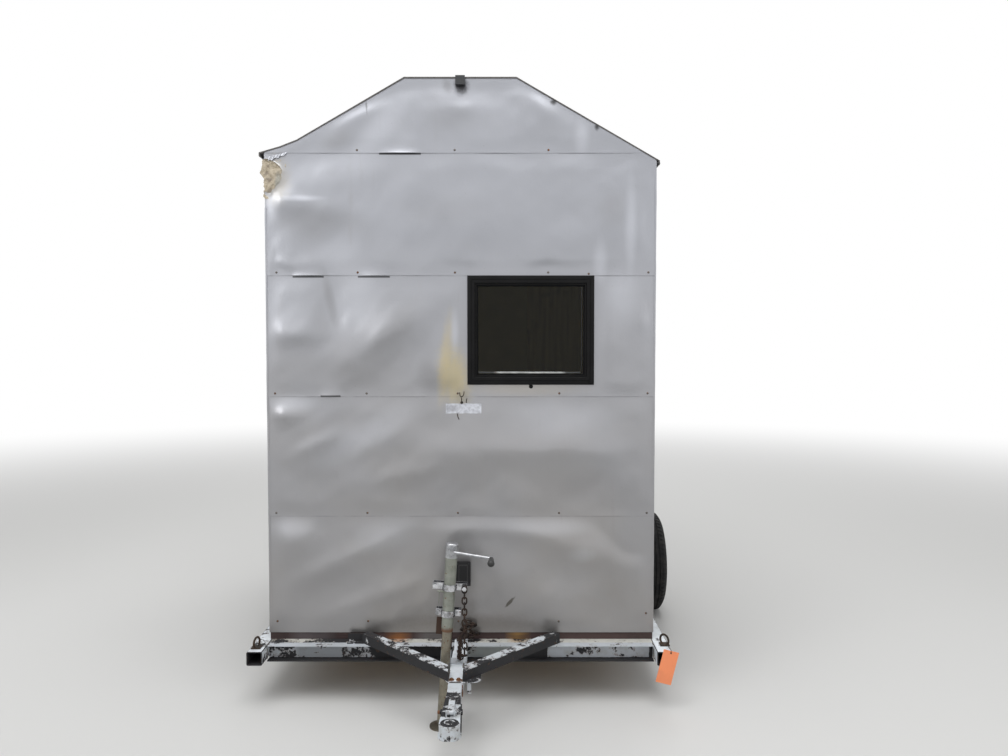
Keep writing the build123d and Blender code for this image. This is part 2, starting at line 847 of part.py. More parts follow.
def make_hub():
    """A hub about the Y axis with a flange, a grease cap, and studs with nuts."""
    bore = spindle_radius + running_gap
    cap_end = hub_outboard + hub_cap_length
    chamfer_size = hub_cap_length / 2
    outline = [
        (bore, -hub_inboard), (hub_radius, -hub_inboard), (hub_radius, -hub_flange),
        (hub_flange_radius, -hub_flange), (hub_flange_radius, 0), (hub_radius, 0),
        (hub_radius, web_thickness), (hub_cap_radius, hub_outboard),
        (hub_cap_radius, cap_end - chamfer_size), (hub_cap_radius - chamfer_size, cap_end),
        (0, cap_end), (0, hub_outboard), (bore, hub_outboard),
    ]
    hub = revolve(make_face(Polyline(*outline, close=True)), axis=Axis.Y)
    nut_end = web_thickness + nut_height
    for index in range(stud_count):
        turn = Rot(0, 360 / stud_count * index, 0)
        hub += turn * rod_y(stud_radius, -hub_flange / 2, nut_end, stud_circle, 0)
        hub += turn * hex_y(nut_radius, web_thickness, nut_end, stud_circle, 0)
    return hub


def make_wheel(side):
    """Tyre, rim and hub on a stub axle that a plate on the rail carries."""
    root = rail_outer + bracket_thickness - wheel_x
    tip = hub_outboard - spindle_tip_gap
    seat = -hub_inboard - spindle_seat_gap
    spindle = rod_y(spindle_radius, root, tip, 0, 0)
    spindle += rod_y(spindle_radius + spindle_shoulder, root, seat, 0, 0)
    place = Pos(side * wheel_x, axle_y, axle_z) * Rot(0, 0, -90 * side)
    ear_top = axle_z + bracket_rise
    plate = [
        (axle_y - bracket_half_width, rail_bottom), (axle_y + bracket_half_width, rail_bottom),
        (axle_y + bracket_half_width, frame_top), (axle_y + bracket_ear, ear_top),
        (axle_y - bracket_ear, ear_top), (axle_y - bracket_half_width, frame_top),
    ]
    faces = sorted((side * rail_outer, side * (rail_outer + bracket_thickness)))
    name = "right" if side > 0 else "left"
    return {
        name + "_tyre": place * make_tyre(),
        name + "_rim": place * make_rim(),
        name + "_hub": place * make_hub(),
        name + "_stub_axle": prism_x(plate, *faces) + place * spindle,
    }


def jack_frame():
    """Place of the jack: its own upright axis, leaning sideways from a point on the ground."""
    return Pos(jack_ground_x, jack_y, 0) * Rot(0, jack_lean, 0)


def make_jack():
    """Crank jack clamped to a post on the tongue: tube, gear head, ram with foot, and crank."""
    low, high, top = (height * stretch for height in (jack_tube_low, jack_tube_high, jack_head_high))
    tube = Pos(0, 0, (low + high) / 2) * Cylinder(jack_tube_radius, high - low)
    tube -= Pos(0, 0, low) * Cylinder(ram_radius + ram_gap, 2 * (high - low))
    tube -= Pos(0, 0, (low + collar_height + high) / 2) * Cylinder(
        jack_tube_bore, high - low - collar_height)
    pin_end = -jack_tube_radius - pin_proud
    tube += rod_x(pin_radius, pin_end, -(jack_tube_radius + jack_tube_bore) / 2, 0, pin_height)
    clip = SlotOverall(clip_length, clip_width) - SlotOverall(
        clip_length - 2 * clip_wire, clip_width - 2 * clip_wire)
    clip = Rot(0, 90, 0) * extrude(clip, amount=clip_wire / 2, both=True)
    clip_z = pin_height - clip_length / 2 + pin_radius + clip_wire / 2
    tube += Pos(pin_end + clip_inset, 0, clip_z) * clip

    shaft_z = crank_height * stretch
    boss_end = -crank_plane + crank_hub_radius + boss_gap
    head = Pos(0, 0, (high + top) / 2) * Cylinder(jack_head_radius, top - high)
    head = fillet(head.edges().group_by(Axis.Z)[-1], head_rounding)
    head += rod_y(crank_hub_radius + crank_boss_wall, boss_end, 0, 0, shaft_z)
    head -= rod_y(crank_shaft_radius + running_gap, boss_end - 1, -crank_shaft_stop, 0, shaft_z)

    ram_top = low + ram_engaged
    ram = jack_frame() * Pos(0, 0, ram_top / 2) * Cylinder(ram_radius, ram_top)
    ram += Pos(jack_ground_x, jack_y, ram_foot_thickness / 2) * Cylinder(
        ram_foot_radius, ram_foot_thickness)
    ram -= Pos(jack_ground_x, jack_y, -ram_foot_radius / 2) * Box(
        2 * ram_foot_radius, 2 * ram_foot_radius, ram_foot_radius)

    turn = math.radians(crank_drop)
    tip_x = crank_reach * math.cos(turn)
    tip_z = shaft_z - crank_reach * math.sin(turn)
    knob = crank_rod_radius + knob_extra
    crank = rod_y(crank_shaft_radius, -crank_plane, -crank_shaft_stop - crank_end_gap, 0, shaft_z)
    crank += rod_y(crank_hub_radius, -crank_plane - crank_hub_radius, boss_end - crank_end_gap, 0, shaft_z)
    elbow = Vector(tip_x, -crank_plane, tip_z)
    crank += rod_between(Vector(0, -crank_plane, shaft_z), elbow, crank_rod_radius)
    crank += Pos(*elbow) * Sphere(knob)
    return {
        "jack_tube": jack_frame() * tube,
        "jack_head": jack_frame() * head,
        "jack_ram": ram,
        "jack_crank": jack_frame() * crank,
        "crank_grip": jack_frame() * Pos(tip_x, -crank_plane - knob, tip_z) * make_grip(),
    }


def make_grip():
    """A grip along -Y that widens to a rounded end."""
    nose = grip_length - grip_radius
    base = Line((0, 0), (grip_neck, 0))
    flank = Line(base @ 1, (grip_radius, -nose))
    corner = grip_radius * math.sqrt(0.5)
    end = ThreePointArc(flank @ 1, (corner, -nose - corner), (0, -grip_length))
    axis = Line(end @ 1, base @ 0)
    return revolve(make_face([base, flank, end, axis]), axis=Axis.Y)


def make_clamp(span, long_bolt):
    """Clamp round the tube: a strap with ears in front, a plate behind the post, and two bolts."""
    half = span / 2
    low, high = -clamp_height / 2, clamp_height / 2
    outer = jack_tube_radius + clamp_wall
    ear_back = clamp_ear_front + clamp_ear
    plate_front = jack_tube_radius + post_thickness
    plate_back = plate_front + clamp_plate
    clamp = Cylinder(outer, clamp_height) & block(-outer, outer, -outer, ear_back, low, high)
    clamp += block(-half, half, clamp_ear_front, ear_back, low, high)
    clamp -= Cylinder(jack_tube_radius, clamp_height)
    clamp += block(-half, half, plate_front, plate_back, low, high)
    for side in (-1, 1):
        x = side * (half - clamp_bolt_inset)
        proud = clamp_bolt_proud if long_bolt and side > 0 else 0
        head_back = clamp_ear_front - proud
        clamp += rod_y(clamp_bolt_radius, head_back, plate_back + bolt_head_height, x, 0)
        clamp += hex_y(bolt_head_radius, head_back - bolt_head_height, head_back, x, 0)
        clamp += hex_y(bolt_head_radius, plate_back, plate_back + bolt_head_height, x, 0)
    return clamp


def make_jack_mount():
    """Post beside the tongue behind the jack, with two bolted clamps round the tube."""
    half = post_width / 2
    back = jack_tube_radius + post_thickness
    post = block(-half, half, jack_tube_radius, back, rail_bottom, clamp_upper + clamp_height)
    post += block(-half - post_ear_width, -half, jack_tube_radius, back, post_ear_low, post_ear_high)
    post = jack_frame() * post
    post -= block(-tongue_width / 2, tongue_width, jack_y, jack_y + 2 * back, 0, frame_top)
    foot_y = jack_y + jack_tube_radius
    post += block(jack_ground_x, tongue_width / 2, foot_y, foot_y + post_shelf,
                  frame_top, frame_top + brace_wall)
    nodes = {"jack_post": post}
    for name, height, span, long_bolt in (
        ("upper_jack_clamp", clamp_upper, clamp_upper_span, True),
        ("lower_jack_clamp", clamp_lower, clamp_lower_span, False),
    ):
        nodes[name] = jack_frame() * Pos(0, 0, height) * make_clamp(span, long_bolt)
    return nodes


def make_tie_ring(x, y, turn):
    """A ring that stands on a base plate on top of a rail, turned about the vertical."""
    base = block(x - ring_base / 2, x + ring_base / 2, y - ring_base / 2, y + ring_base / 2,
                 frame_top, frame_top + brace_wall)
    section = Pos(ring_radius, 0) * RegularPolygon(ring_wire, ring_sides, rotation=180 / ring_sides)
    ring = Pos(x, y, frame_top + ring_radius) * Rot(0, 0, turn) * revolve(section, axis=Axis.Y)
    reach = 2 * ring_radius
    ring &= block(x - reach, x + reach, y - reach, y + reach,
                  frame_top + ring_sink, frame_top + 2 * reach)
    return base + ring


def make_rings():
    """A tie ring on each rail, and an orange tag wired to the right one."""
    left_place = (-rail_inset - left_ring_side, wall_front - left_ring_front)
    right_place = (rail_inset + right_ring_side, wall_front - right_ring_front)
    tag_y = wall_front - rail_front
    tag_x = rail_inset + tag_side
    tilt = math.radians(tag_tilt)
    tag = block(-tag_width / 2, tag_width / 2, -tag_thickness, 0, -tag_length, 0)
    tag -= rod_y(tag_hole_radius, -tag_thickness - 1, 1, 0, -tag_hole_inset)
    tag = Pos(tag_x, tag_y, frame_top + tag_rise) * Rot(0, tag_tilt, 0) * tag
    hole = Vector(tag_x - tag_hole_inset * math.sin(tilt), tag_y - tag_thickness - tag_wire / 2,
                  frame_top + tag_rise - tag_hole_inset * math.cos(tilt))
    bend = Vector(hole.X, hole.Y, frame_top + tag_over)
    ring_side = math.sqrt(ring_radius ** 2 - (ring_radius - tag_over) ** 2)
    turn = math.radians(right_ring_turn)
    wire_x = right_place[0] + ring_side * math.cos(turn) + ring_wire * math.sin(turn)
    wire_y = right_place[1] + ring_side * math.sin(turn) - ring_wire * math.cos(turn)
    tag += rod_between(hole, bend, tag_wire) + Pos(*bend) * Sphere(tag_wire)
    tag += rod_between(bend, Vector(wire_x, wire_y, bend.Z), tag_wire)
    return {
        "left_tie_ring": make_tie_ring(*left_place, left_ring_turn),
        "right_tie_ring": make_tie_ring(*right_place, right_ring_turn),
        "orange_tag": tag,
    }


def chain_run():
    """Corners of the chain's run: down from the clamp's bolt, back along the tongue, into a heap."""
    bolt = clamp_upper_span / 2 - clamp_bolt_inset
    bolt_x = jack_ground_x + clamp_upper * math.sin(lean) + bolt * math.cos(lean)
    bolt_z = clamp_upper * math.cos(lean) - bolt * math.sin(lean)
    bolt_y = jack_y + clamp_ear_front - chain_bolt_front
    shelf_back = jack_y + jack_tube_radius + post_shelf
    lying = frame_top + chain_lie
    root = wall_front - link_width
    return [
        Vector(bolt_x, bolt_y, bolt_z + clamp_bolt_radius - link_length / 2 + link_wire + link_bite / 2),
        Vector(bolt_x, bolt_y, lying + link_length),
        Vector(bolt_x - link_width, bolt_y + link_length, lying + brace_wall + link_wire),
        Vector(bolt_x - link_width, shelf_back, lying + brace_wall),
        Vector(0, shelf_back + link_length, lying),
        Vector(0, wall_front - beam_front, lying),
    ] + chain_heap(root, lying)


def chain_heap(root, lying):
    """Turns of the heap by the wall, back and forth in layers that narrow upwards."""
    turns = []
    for layer in range(heap_layers):
        share = layer / (heap_layers - 1)
        left = heap_left + (heap_top_left - heap_left) * share
        right = heap_right + (heap_top_right - heap_right) * share
        turns.append(Vector(right if layer % 2 else left, root, lying + layer * heap_layer))
    return turns


def make_chain():
    """Safety chain of flat links that are turned a quarter each along its run."""
    corners = chain_run()
    step = link_length - 2 * link_wire + link_bite
    links = []
    travelled = 0.0
    leg_start = 0.0
    for start, end in zip(corners, corners[1:]):
        leg = (end - start).length
        roll = 0 if start is corners[0] else link_roll
        while travelled <= leg_start + leg:
            centre = start + (end - start) * ((travelled - leg_start) / leg)
            turn = roll + 90 * (len(links) % 2)
            place = Plane(origin=centre, z_dir=start - end)
            links.append(place * Rot(0, 0, turn) * chain_link())
            travelled += step
        leg_start += leg
    return {"safety_chain": links[0].fuse(*links[1:])}


def make_small_parts():
    """Black box on the wall behind the jack and the dark block at the top of the front wall."""
    low = shell_bottom + box_above_shell
    high = low + box_height
    right = box_left + box_width
    box = block(box_left + box_lid_inset, right - box_lid_inset, wall_front - box_depth + box_lid,
                wall_front, low + box_lid_inset, high - box_lid_inset)
    box += block(box_left, right, wall_front - box_depth, wall_front - box_depth + box_lid, low, high)
    half = ridge_block_width / 2
    top = roof_flat_height + covering_thickness + ridge_block_rise
    ridge = block(-half, half, wall_front - ridge_block_depth, wall_front - covering_end_lap,
                  top - ridge_block_height, top)
    return {"junction_box": box, "ridge_block": ridge}


def build_all():
    """Every piece by its node name."""
    nodes = {}
    for group in (
        make_floor(), make_walls(), make_roof(), make_siding(), make_window(), make_door(),
        make_frame(), make_coupler(), make_wheel(1), make_wheel(-1), make_jack(),
        make_jack_mount(), make_rings(), make_chain(), make_small_parts(),
    ):
        nodes.update(group)
    return nodes


os.makedirs("parts", exist_ok=True)
for node_name, shape in build_all().items():
    export_step(shape, "parts/" + node_name + ".step")
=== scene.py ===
"""Looks of an ice fishing hut on a two-wheel trailer frame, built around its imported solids."""

import math

import bpy
import numpy as np
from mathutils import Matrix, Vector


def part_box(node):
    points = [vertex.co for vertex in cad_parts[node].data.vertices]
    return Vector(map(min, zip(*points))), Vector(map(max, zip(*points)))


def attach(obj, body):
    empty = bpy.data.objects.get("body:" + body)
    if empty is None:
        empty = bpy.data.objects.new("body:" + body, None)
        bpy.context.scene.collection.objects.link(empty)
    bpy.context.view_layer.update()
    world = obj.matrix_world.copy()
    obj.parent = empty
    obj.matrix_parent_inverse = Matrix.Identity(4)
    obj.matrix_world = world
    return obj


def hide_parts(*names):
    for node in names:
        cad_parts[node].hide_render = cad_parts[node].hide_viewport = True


bl_info = {
    "name": "Ice Fishing Hut",
    "version": (1, 0, 0),
    "blender": (4, 5, 0),
    "location": "3D View > Sidebar > Hut",
    "description": "Siding, window, trailer, jack and wheels of an ice fishing hut",
    "category": "Add Mesh",
}

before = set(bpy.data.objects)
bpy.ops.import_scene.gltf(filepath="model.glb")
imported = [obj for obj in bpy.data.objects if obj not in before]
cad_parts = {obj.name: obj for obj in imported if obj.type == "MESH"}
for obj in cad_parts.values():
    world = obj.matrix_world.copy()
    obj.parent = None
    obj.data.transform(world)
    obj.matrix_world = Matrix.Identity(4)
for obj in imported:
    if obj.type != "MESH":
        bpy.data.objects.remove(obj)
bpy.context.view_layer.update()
HUT = "hut"

SIDING_LOW, SIDING_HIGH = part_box("front_siding")
SIDE_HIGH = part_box("right_siding")[1]
LEFT_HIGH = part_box("left_siding")[1]
WINDOW_LOW, WINDOW_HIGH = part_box("window_frame")
GLASS_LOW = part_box("window_glass")[0]
RAIL_LOW, RAIL_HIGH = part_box("right_rail")
TONGUE_LOW, TONGUE_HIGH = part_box("tongue")
BEAM_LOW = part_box("front_crossbeam")[0]
DOOR_LOW, DOOR_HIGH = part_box("rear_door")
BOX_LOW, BOX_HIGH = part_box("junction_box")
COVER_LOW, COVER_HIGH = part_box("roof_covering")
COUPLER_LOW, COUPLER_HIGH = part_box("coupler")
TUBE_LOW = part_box("jack_tube")[0]

# The siding's core plane behind its face, a sheet's thickness, and how far a lap lifts the next sheet
SKIN, SHEET, LAP_LIFT = 0.003, 0.0008, 0.0015
HALF_WIDTH = SIDING_HIGH.x
WALL_FRONT = SIDING_LOW.y
WALL_REAR = SIDE_HIGH.y + SKIN
SHELL_BOTTOM = SIDING_LOW.z
ROOF_TOP = SIDING_HIGH.z
FRAME_TOP = TONGUE_HIGH.z
ROOF_FLAT_HALF = 0.261
ROOF_PITCH = math.radians(29.9)
# The left eave kicks up from the slope: distances from the eave and rises over the slope
KICK_RUN, KICK_SECOND_RUN = 0.1525, 0.0725
KICK_MIDDLE_RISE, KICK_EAVE_RISE = 0.015, 0.036
BALL_Y = WALL_FRONT - 0.858


def grid_faces(rows, columns, wrap_rows=False, wrap_columns=False):
    """Quads of a grid of points stored row by row; each faces the way row cross column points."""
    index = np.arange(rows * columns).reshape(rows, columns)
    if wrap_rows:
        index = np.vstack([index, index[:1]])
    if wrap_columns:
        index = np.hstack([index, index[:, :1]])
    corners = [index[:-1, :-1], index[1:, :-1], index[1:, 1:], index[:-1, 1:]]
    return np.stack(corners, -1).reshape(-1, 4)


def lattice(rows, columns, low=0):
    """Shares from low to 1 across and along a grid of points."""
    return np.meshgrid(np.linspace(low, 1, rows), np.linspace(low, 1, columns), indexing="ij")


def put_mesh(name, shape, material, body=HUT, crease=40.0):
    """An object at the origin from (points, faces), riding on a body, sharp beyond a crease."""
    points, faces = shape
    mesh = bpy.data.meshes.new(name)
    mesh.from_pydata(np.asarray(points, float).reshape(-1, 3).tolist(), [], [list(f) for f in faces])
    mesh.validate()
    mesh.update()
    mesh.polygons.foreach_set("use_smooth", np.full(len(mesh.polygons), True))
    mesh.set_sharp_from_angle(angle=math.radians(crease))
    mesh.materials.append(material)
    piece = bpy.data.objects.new(name, mesh)
    bpy.context.scene.collection.objects.link(piece)
    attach(piece, body)
    return piece


def thicken(piece, thickness):
    """Give a sheet its thickness, inwards from the face that was laid out, with sharp rims."""
    mesh = piece.data
    used = np.zeros(len(mesh.loops), np.int32)
    mesh.loops.foreach_get("edge_index", used)
    sharp = np.zeros(len(mesh.edges), bool)
    mesh.edges.foreach_get("use_edge_sharp", sharp)
    rim = np.bincount(used, minlength=len(mesh.edges)) == 1
    mesh.edges.foreach_set("use_edge_sharp", sharp | rim)
    edge = piece.modifiers.new("edge", "SOLIDIFY")
    edge.thickness = thickness
    edge.offset = -1


def join_shapes(shapes):
    """Several (points, faces) shapes as one, their faces renumbered."""
    points, faces, start = [], [], 0
    for shape_points, shape_faces in shapes:
        points.append(np.asarray(shape_points, float).reshape(-1, 3))
        faces.extend([[i + start for i in face] for face in shape_faces])
        start += len(points[-1])
    return np.vstack(points), faces


def carried(profile, path, up, closed=False, scale=None):
    """A profile of (side, up) offsets carried along a path.

    At each path point the tangent is the difference of its neighbours, the side is tangent cross up,
    and each profile point stands at path + side * across + lift * height, times the scale there.
    """
    path = np.asarray(path, float)
    profile = np.asarray(profile, float)
    if closed:
        tangent = np.roll(path, -1, 0) - np.roll(path, 1, 0)
    else:
        tangent = np.gradient(path, axis=0)
    tangent /= np.linalg.norm(tangent, axis=1, keepdims=True)
    up = np.broadcast_to(np.asarray(up, float), path.shape)
    side = np.cross(tangent, up)
    side /= np.linalg.norm(side, axis=1, keepdims=True)
    lift = np.cross(side, tangent)
    size = np.ones(len(path)) if scale is None else np.asarray(scale, float)
    offsets = side[:, None] * profile[None, :, :1] + lift[:, None] * profile[None, :, 1:]
    points = path[:, None] + offsets * size[:, None, None]
    faces = grid_faces(len(path), len(profile), wrap_rows=closed, wrap_columns=True).tolist()
    if not closed:
        count = len(profile)
        last = (len(path) - 1) * count
        faces += [list(range(count)), list(range(last + count - 1, last - 1, -1))]
    return points.reshape(-1, 3), faces


def ring_profile(radius, sides):
    """A circle of (side, up) offsets, run so that carried faces point outwards."""
    turn = np.linspace(0, 2 * np.pi, sides, endpoint=False)
    return np.stack([radius * np.cos(turn), radius * np.sin(turn)], -1)


def turned(profile, centre, axis, sides):
    """A profile of (radius, distance) pairs, outer end first, turned round a unit axis through a centre.

    Each point is centre + axis * distance + radius * (first * cos + second * sin) of its angle, with
    first and second square to the axis. The first and last rings are closed by flat faces.
    """
    axis = np.asarray(axis, float)
    helper = np.array([0.0, 0.0, 1.0]) if abs(axis[2]) < 0.9 else np.array([1.0, 0.0, 0.0])
    first = np.cross(axis, helper)
    first /= np.linalg.norm(first)
    second = np.cross(axis, first)
    profile = np.asarray(profile, float)
    turn = np.linspace(0, 2 * np.pi, sides, endpoint=False)
    around = np.cos(turn)[:, None] * first + np.sin(turn)[:, None] * second
    points = (np.asarray(centre, float) + axis * profile[:, None, 1:]
              + around[None] * profile[:, None, :1])
    faces = grid_faces(len(profile), sides, wrap_columns=True).tolist()
    count = len(profile)
    faces.append(list(range(sides)))
    faces.append(list(range((count - 1) * sides, count * sides))[::-1])
    return points.reshape(-1, 3), faces


def repeated(shape, places):
    """Copies of one shape moved to many places."""
    points, faces = shape
    places = np.asarray(places, float).reshape(-1, 3)
    moved = (points[None] + places[:, None]).reshape(-1, 3)
    faces = [[i + start * len(points) for i in face] for start in range(len(places)) for face in faces]
    return moved, faces


def heads(profile, axis, sides, places):
    """A turned head at each of many places."""
    return repeated(turned(profile, (0, 0, 0), axis, sides), places)


def upright(outline, heights, sway):
    """A closed outline of (x, y) points carried up through heights, shifted by sway (x, y) at each."""
    outline = np.asarray(outline, float)
    heights = np.asarray(heights, float)
    points = np.zeros((len(heights), len(outline), 3))
    points[..., :2] = outline[None] + np.asarray(sway)[:, None]
    points[..., 2] = heights[:, None]
    faces = grid_faces(len(heights), len(outline), wrap_columns=True)[:, ::-1].tolist()
    last = (len(heights) - 1) * len(outline)
    faces += [list(range(len(outline)))[::-1], list(range(last, last + len(outline)))]
    return points.reshape(-1, 3), faces


def mitred(low, high, y, profile):
    """A picture-frame loop in a plane of constant y.

    Each profile point (inset, proud) runs round the rectangle, inset from its edge and proud of y.
    """
    inset, proud = np.asarray(profile, float).T
    rows = []
    for right, top in ((0, 0), (1, 0), (1, 1), (0, 1)):
        x = high[0] - inset if right else low[0] + inset
        z = high[1] - inset if top else low[1] + inset
        rows.append(np.stack([x, y - proud, z], -1))
    faces = grid_faces(4, len(inset), wrap_rows=True, wrap_columns=True).tolist()
    return np.concatenate(rows), faces


def flowing(points, steps):
    """A smooth line through points: each leg is the cubic of its four neighbours."""
    p = np.asarray(points, float)
    p = np.vstack([2 * p[0] - p[1], p, 2 * p[-1] - p[-2]])
    t = np.linspace(0, 1, steps, endpoint=False)[:, None]
    legs = [0.5 * (2 * b + (c - a) * t + (2 * a - 5 * b + 4 * c - d) * t ** 2
                   + (3 * b - a - 3 * c + d) * t ** 3)
            for a, b, c, d in zip(p, p[1:], p[2:], p[3:])]
    return np.vstack(legs + [p[-2:-1]])


def hex_head(centre, axis, radius, height, washer):
    """A hexagon bolt head with a chamfered top on a round washer."""
    lift = 0.0018
    top = lift + height
    head = [(radius * 0.86, top), (radius, top - height * 0.16), (radius, lift - 0.0005)]
    disc = [(washer * 0.97, lift), (washer, lift - 0.0004), (washer, -0.0008)]
    return join_shapes([turned(head, centre, axis, 6), turned(disc, centre, axis, 20)])


def weld_bead(start, end, up, radius, seed):
    """A weld: a round run between two points whose radius swells with each ripple, small at its ends."""
    start, end = np.asarray(start, float), np.asarray(end, float)
    spacing, taper, ripple, pitch = 0.0016, 0.004, 0.13, 0.0055
    length = np.linalg.norm(end - start)
    share = np.linspace(0, 1, max(8, int(length / spacing)))
    rng = np.random.default_rng(seed)
    slow = np.interp(share, np.linspace(0, 1, 9), rng.uniform(0.85, 1.2, 9))
    ends = np.clip(np.minimum(share, 1 - share) * length / taper, 0.25, 1) ** 0.5
    scale = slow * ends * (1 + ripple * np.sin(2 * np.pi * share * length / pitch))
    path = start + share[:, None] * (end - start)
    return carried(ring_profile(radius, 8), path, up, scale=scale)


def smooth_step(value, low, high):
    """0 below low, 1 above high, and t * t * (3 - 2t) between."""
    t = np.clip((value - low) / (high - low), 0, 1)
    return t * t * (3 - 2 * t)


def rough_field(s, z, seed, sizes, heights):
    """Uneven ground: for each size, eight plane waves with seeded directions and phases, averaged."""
    rng = np.random.default_rng(seed)
    total = np.zeros(np.broadcast(s, z).shape)
    for size, height in zip(sizes, heights):
        for turn, phase in rng.uniform(0, 2 * np.pi, (8, 2)):
            total += height / 3 * np.sin((s * np.cos(turn) + z * np.sin(turn)) * 2 * np.pi / size + phase)
    return total


def scaled(color, share):
    """A colour made lighter or darker."""
    return tuple(c * share for c in color)


def add_node(tree, kind, inputs=None, **settings):
    """A node with its settings, each of the inputs linked to an output or given a value."""
    node = tree.nodes.new(kind)
    for name, value in settings.items():
        setattr(node, name, value)
    for socket, value in (inputs or {}).items():
        if isinstance(value, bpy.types.NodeSocket):
            tree.links.new(value, node.inputs[socket])
        else:
            node.inputs[socket].default_value = value
    return node


class Finish:
    """A Principled material whose patterns follow Object coordinates, in metres."""

    # Places of the colour sockets among all those of a Mix node
    FIRST_COLOR, SECOND_COLOR, MIXED_COLOR = 6, 7, 2

    def __init__(self, name, color=(0.5, 0.5, 0.5), metallic=0.0, roughness=0.5):
        self.material = bpy.data.materials.new(name)
        self.material.use_nodes = True
        self.tree = self.material.node_tree
        self.shader = self.tree.nodes["Principled BSDF"]
        self.set("Base Color", (*color, 1)).set("Metallic", metallic).set("Roughness", roughness)
        self.place = self.node("ShaderNodeTexCoord").outputs["Object"]
        self.split = self.node("ShaderNodeSeparateXYZ", {"Vector": self.place})
        self.bumps = None

    def node(self, kind, inputs=None, **settings):
        """A node of this material."""
        return add_node(self.tree, kind, inputs, **settings)

    def set(self, socket, value):
        """Put a plain value on one of the shader's sockets."""
        self.shader.inputs[socket].default_value = value
        return self

    def feed(self, socket, output):
        """Link an output to one of the shader's sockets."""
        self.tree.links.new(output, self.shader.inputs[socket])
        return self

    def noise(self, scale, detail=4.0, rough=0.55, stretch=(1, 1, 1), shift=(0, 0, 0)):
        """Smooth noise of about 1 / scale metres; a stretch below 1 draws it out along that axis."""
        mapping = self.node("ShaderNodeMapping", {"Scale": stretch, "Location": shift, "Vector": self.place})
        return self.node("ShaderNodeTexNoise", {
            "Scale": scale, "Detail": detail, "Roughness": rough,
            "Vector": mapping.outputs["Vector"]}).outputs["Fac"]

    def cells(self, scale, feature="F1"):
        """Distance to scattered points, for grit and cracks."""
        return self.node("ShaderNodeTexVoronoi", {"Scale": scale, "Vector": self.place},
                         feature=feature).outputs["Distance"]

    def ramp(self, value, low, high, smooth=True):
        """0 at low and 1 at high, whichever is larger."""
        return self.node("ShaderNodeMapRange", {"From Min": low, "From Max": high, "Value": value},
                         interpolation_type="SMOOTHSTEP" if smooth else "LINEAR").outputs["Result"]

    def between(self, amount, low, high):
        """A number between two, by an amount from 0 to 1."""
        return self.node("ShaderNodeMapRange",
                         {"To Min": low, "To Max": high, "Value": amount}).outputs["Result"]

    def maths(self, operation, first, second):
        """Two values, or a value and a number, put together."""
        return self.node("ShaderNodeMath", {0: first, 1: second}, operation=operation).outputs["Value"]

    def times(self, first, second):
        """The product of two values, either of them a number."""
        return self.maths("MULTIPLY", first, second)

    def plus(self, first, second):
        """The sum of two values, either of them a number."""
        return self.maths("ADD", first, second)

    def minus(self, first, second):
        """The difference of two values, either of them a number."""
        return self.maths("SUBTRACT", first, second)

    def vectors(self, operation, first, second=(0, 0, 0)):
        """A node that puts a vector output and a plain vector together."""
        return self.node("ShaderNodeVectorMath", {0: first, 1: second}, operation=operation)

    def within(self, soft=0.003, **limits):
        """1 inside limits such as X=(low, high) in metres, fading over a soft edge."""
        inside = None
        for axis, (low, high) in limits.items():
            value = self.split.outputs[axis]
            rise = self.ramp(value, low - soft, low + soft, smooth=False)
            part = self.times(rise, self.ramp(value, high + soft, high - soft, smooth=False))
            inside = part if inside is None else self.times(inside, part)
        return inside

    def raised(self, value, chips):
        """A value to which each (amount, limits) entry adds its amount inside its limits."""
        for amount, limits in chips:
            value = self.plus(value, self.times(self.within(**limits), amount))
        return value

    def patches(self, tints, soft=0.003):
        """Steps for tint from (amount, colour, limits) entries."""
        return [(self.within(**{"soft": soft, **limits}), amount, color) for amount, color, limits in tints]

    def around(self, centre, radii, turn=0.0):
        """Distance from a centre, turned about Y, each axis divided by its radius."""
        offset = self.vectors("SUBTRACT", self.place, centre)
        rotated = self.node("ShaderNodeVectorRotate", {
            "Vector": offset.outputs["Vector"], "Angle": math.radians(turn)}, rotation_type="Y_AXIS")
        divided = self.vectors("MULTIPLY", rotated.outputs["Vector"], [1 / r for r in radii])
        return self.vectors("LENGTH", divided.outputs["Vector"]).outputs["Value"]

    def spot(self, x, z, half_length, half_height, turn, edge, ragged=0.0, deep=0.1):
        """1 inside a turned ellipse on the front wall, fading over its edge, with a ragged outline."""
        centre = (x, WALL_FRONT, z)
        away = self.around(centre, (half_length, deep, half_height), turn)
        if ragged:
            grain = self.times(self.noise(60.0, 4.0, 0.6, shift=centre), ragged)
            away = self.plus(away, self.minus(grain, ragged / 2))
        return self.ramp(away, 1 + edge, 1 - edge)

    def blend(self, amount, first, second):
        """A colour between two, each a colour or an output."""
        first, second = [(*c, 1) if isinstance(c, tuple) else c for c in (first, second)]
        node = self.node("ShaderNodeMix", data_type="RGBA", inputs={
            "Factor": amount, self.FIRST_COLOR: first, self.SECOND_COLOR: second})
        return node.outputs[self.MIXED_COLOR]

    def tint(self, color, changes):
        """A colour changed in turn by (mask, amount, new colour) steps."""
        for mask, amount, other in changes:
            color = self.blend(self.times(mask, amount), color, other)
        return color

    def bump(self, height, depth):
        """Raise the surface by height times depth metres, on top of earlier bumps."""
        below = {} if self.bumps is None else {"Normal": self.bumps}
        node = self.node("ShaderNodeBump", {"Height": height, "Distance": depth, "Strength": 1.0, **below})
        self.bumps = node.outputs["Normal"]
        return self.feed("Normal", self.bumps)

    def dressed(self, color, rough=None, bumps=()):
        """The material, with its colour, its roughness and its (height, depth) bumps linked."""
        self.feed("Base Color", color)
        if rough is not None:
            self.feed("Roughness", rough)
        for height, depth in bumps:
            self.bump(height, depth)
        return self.material


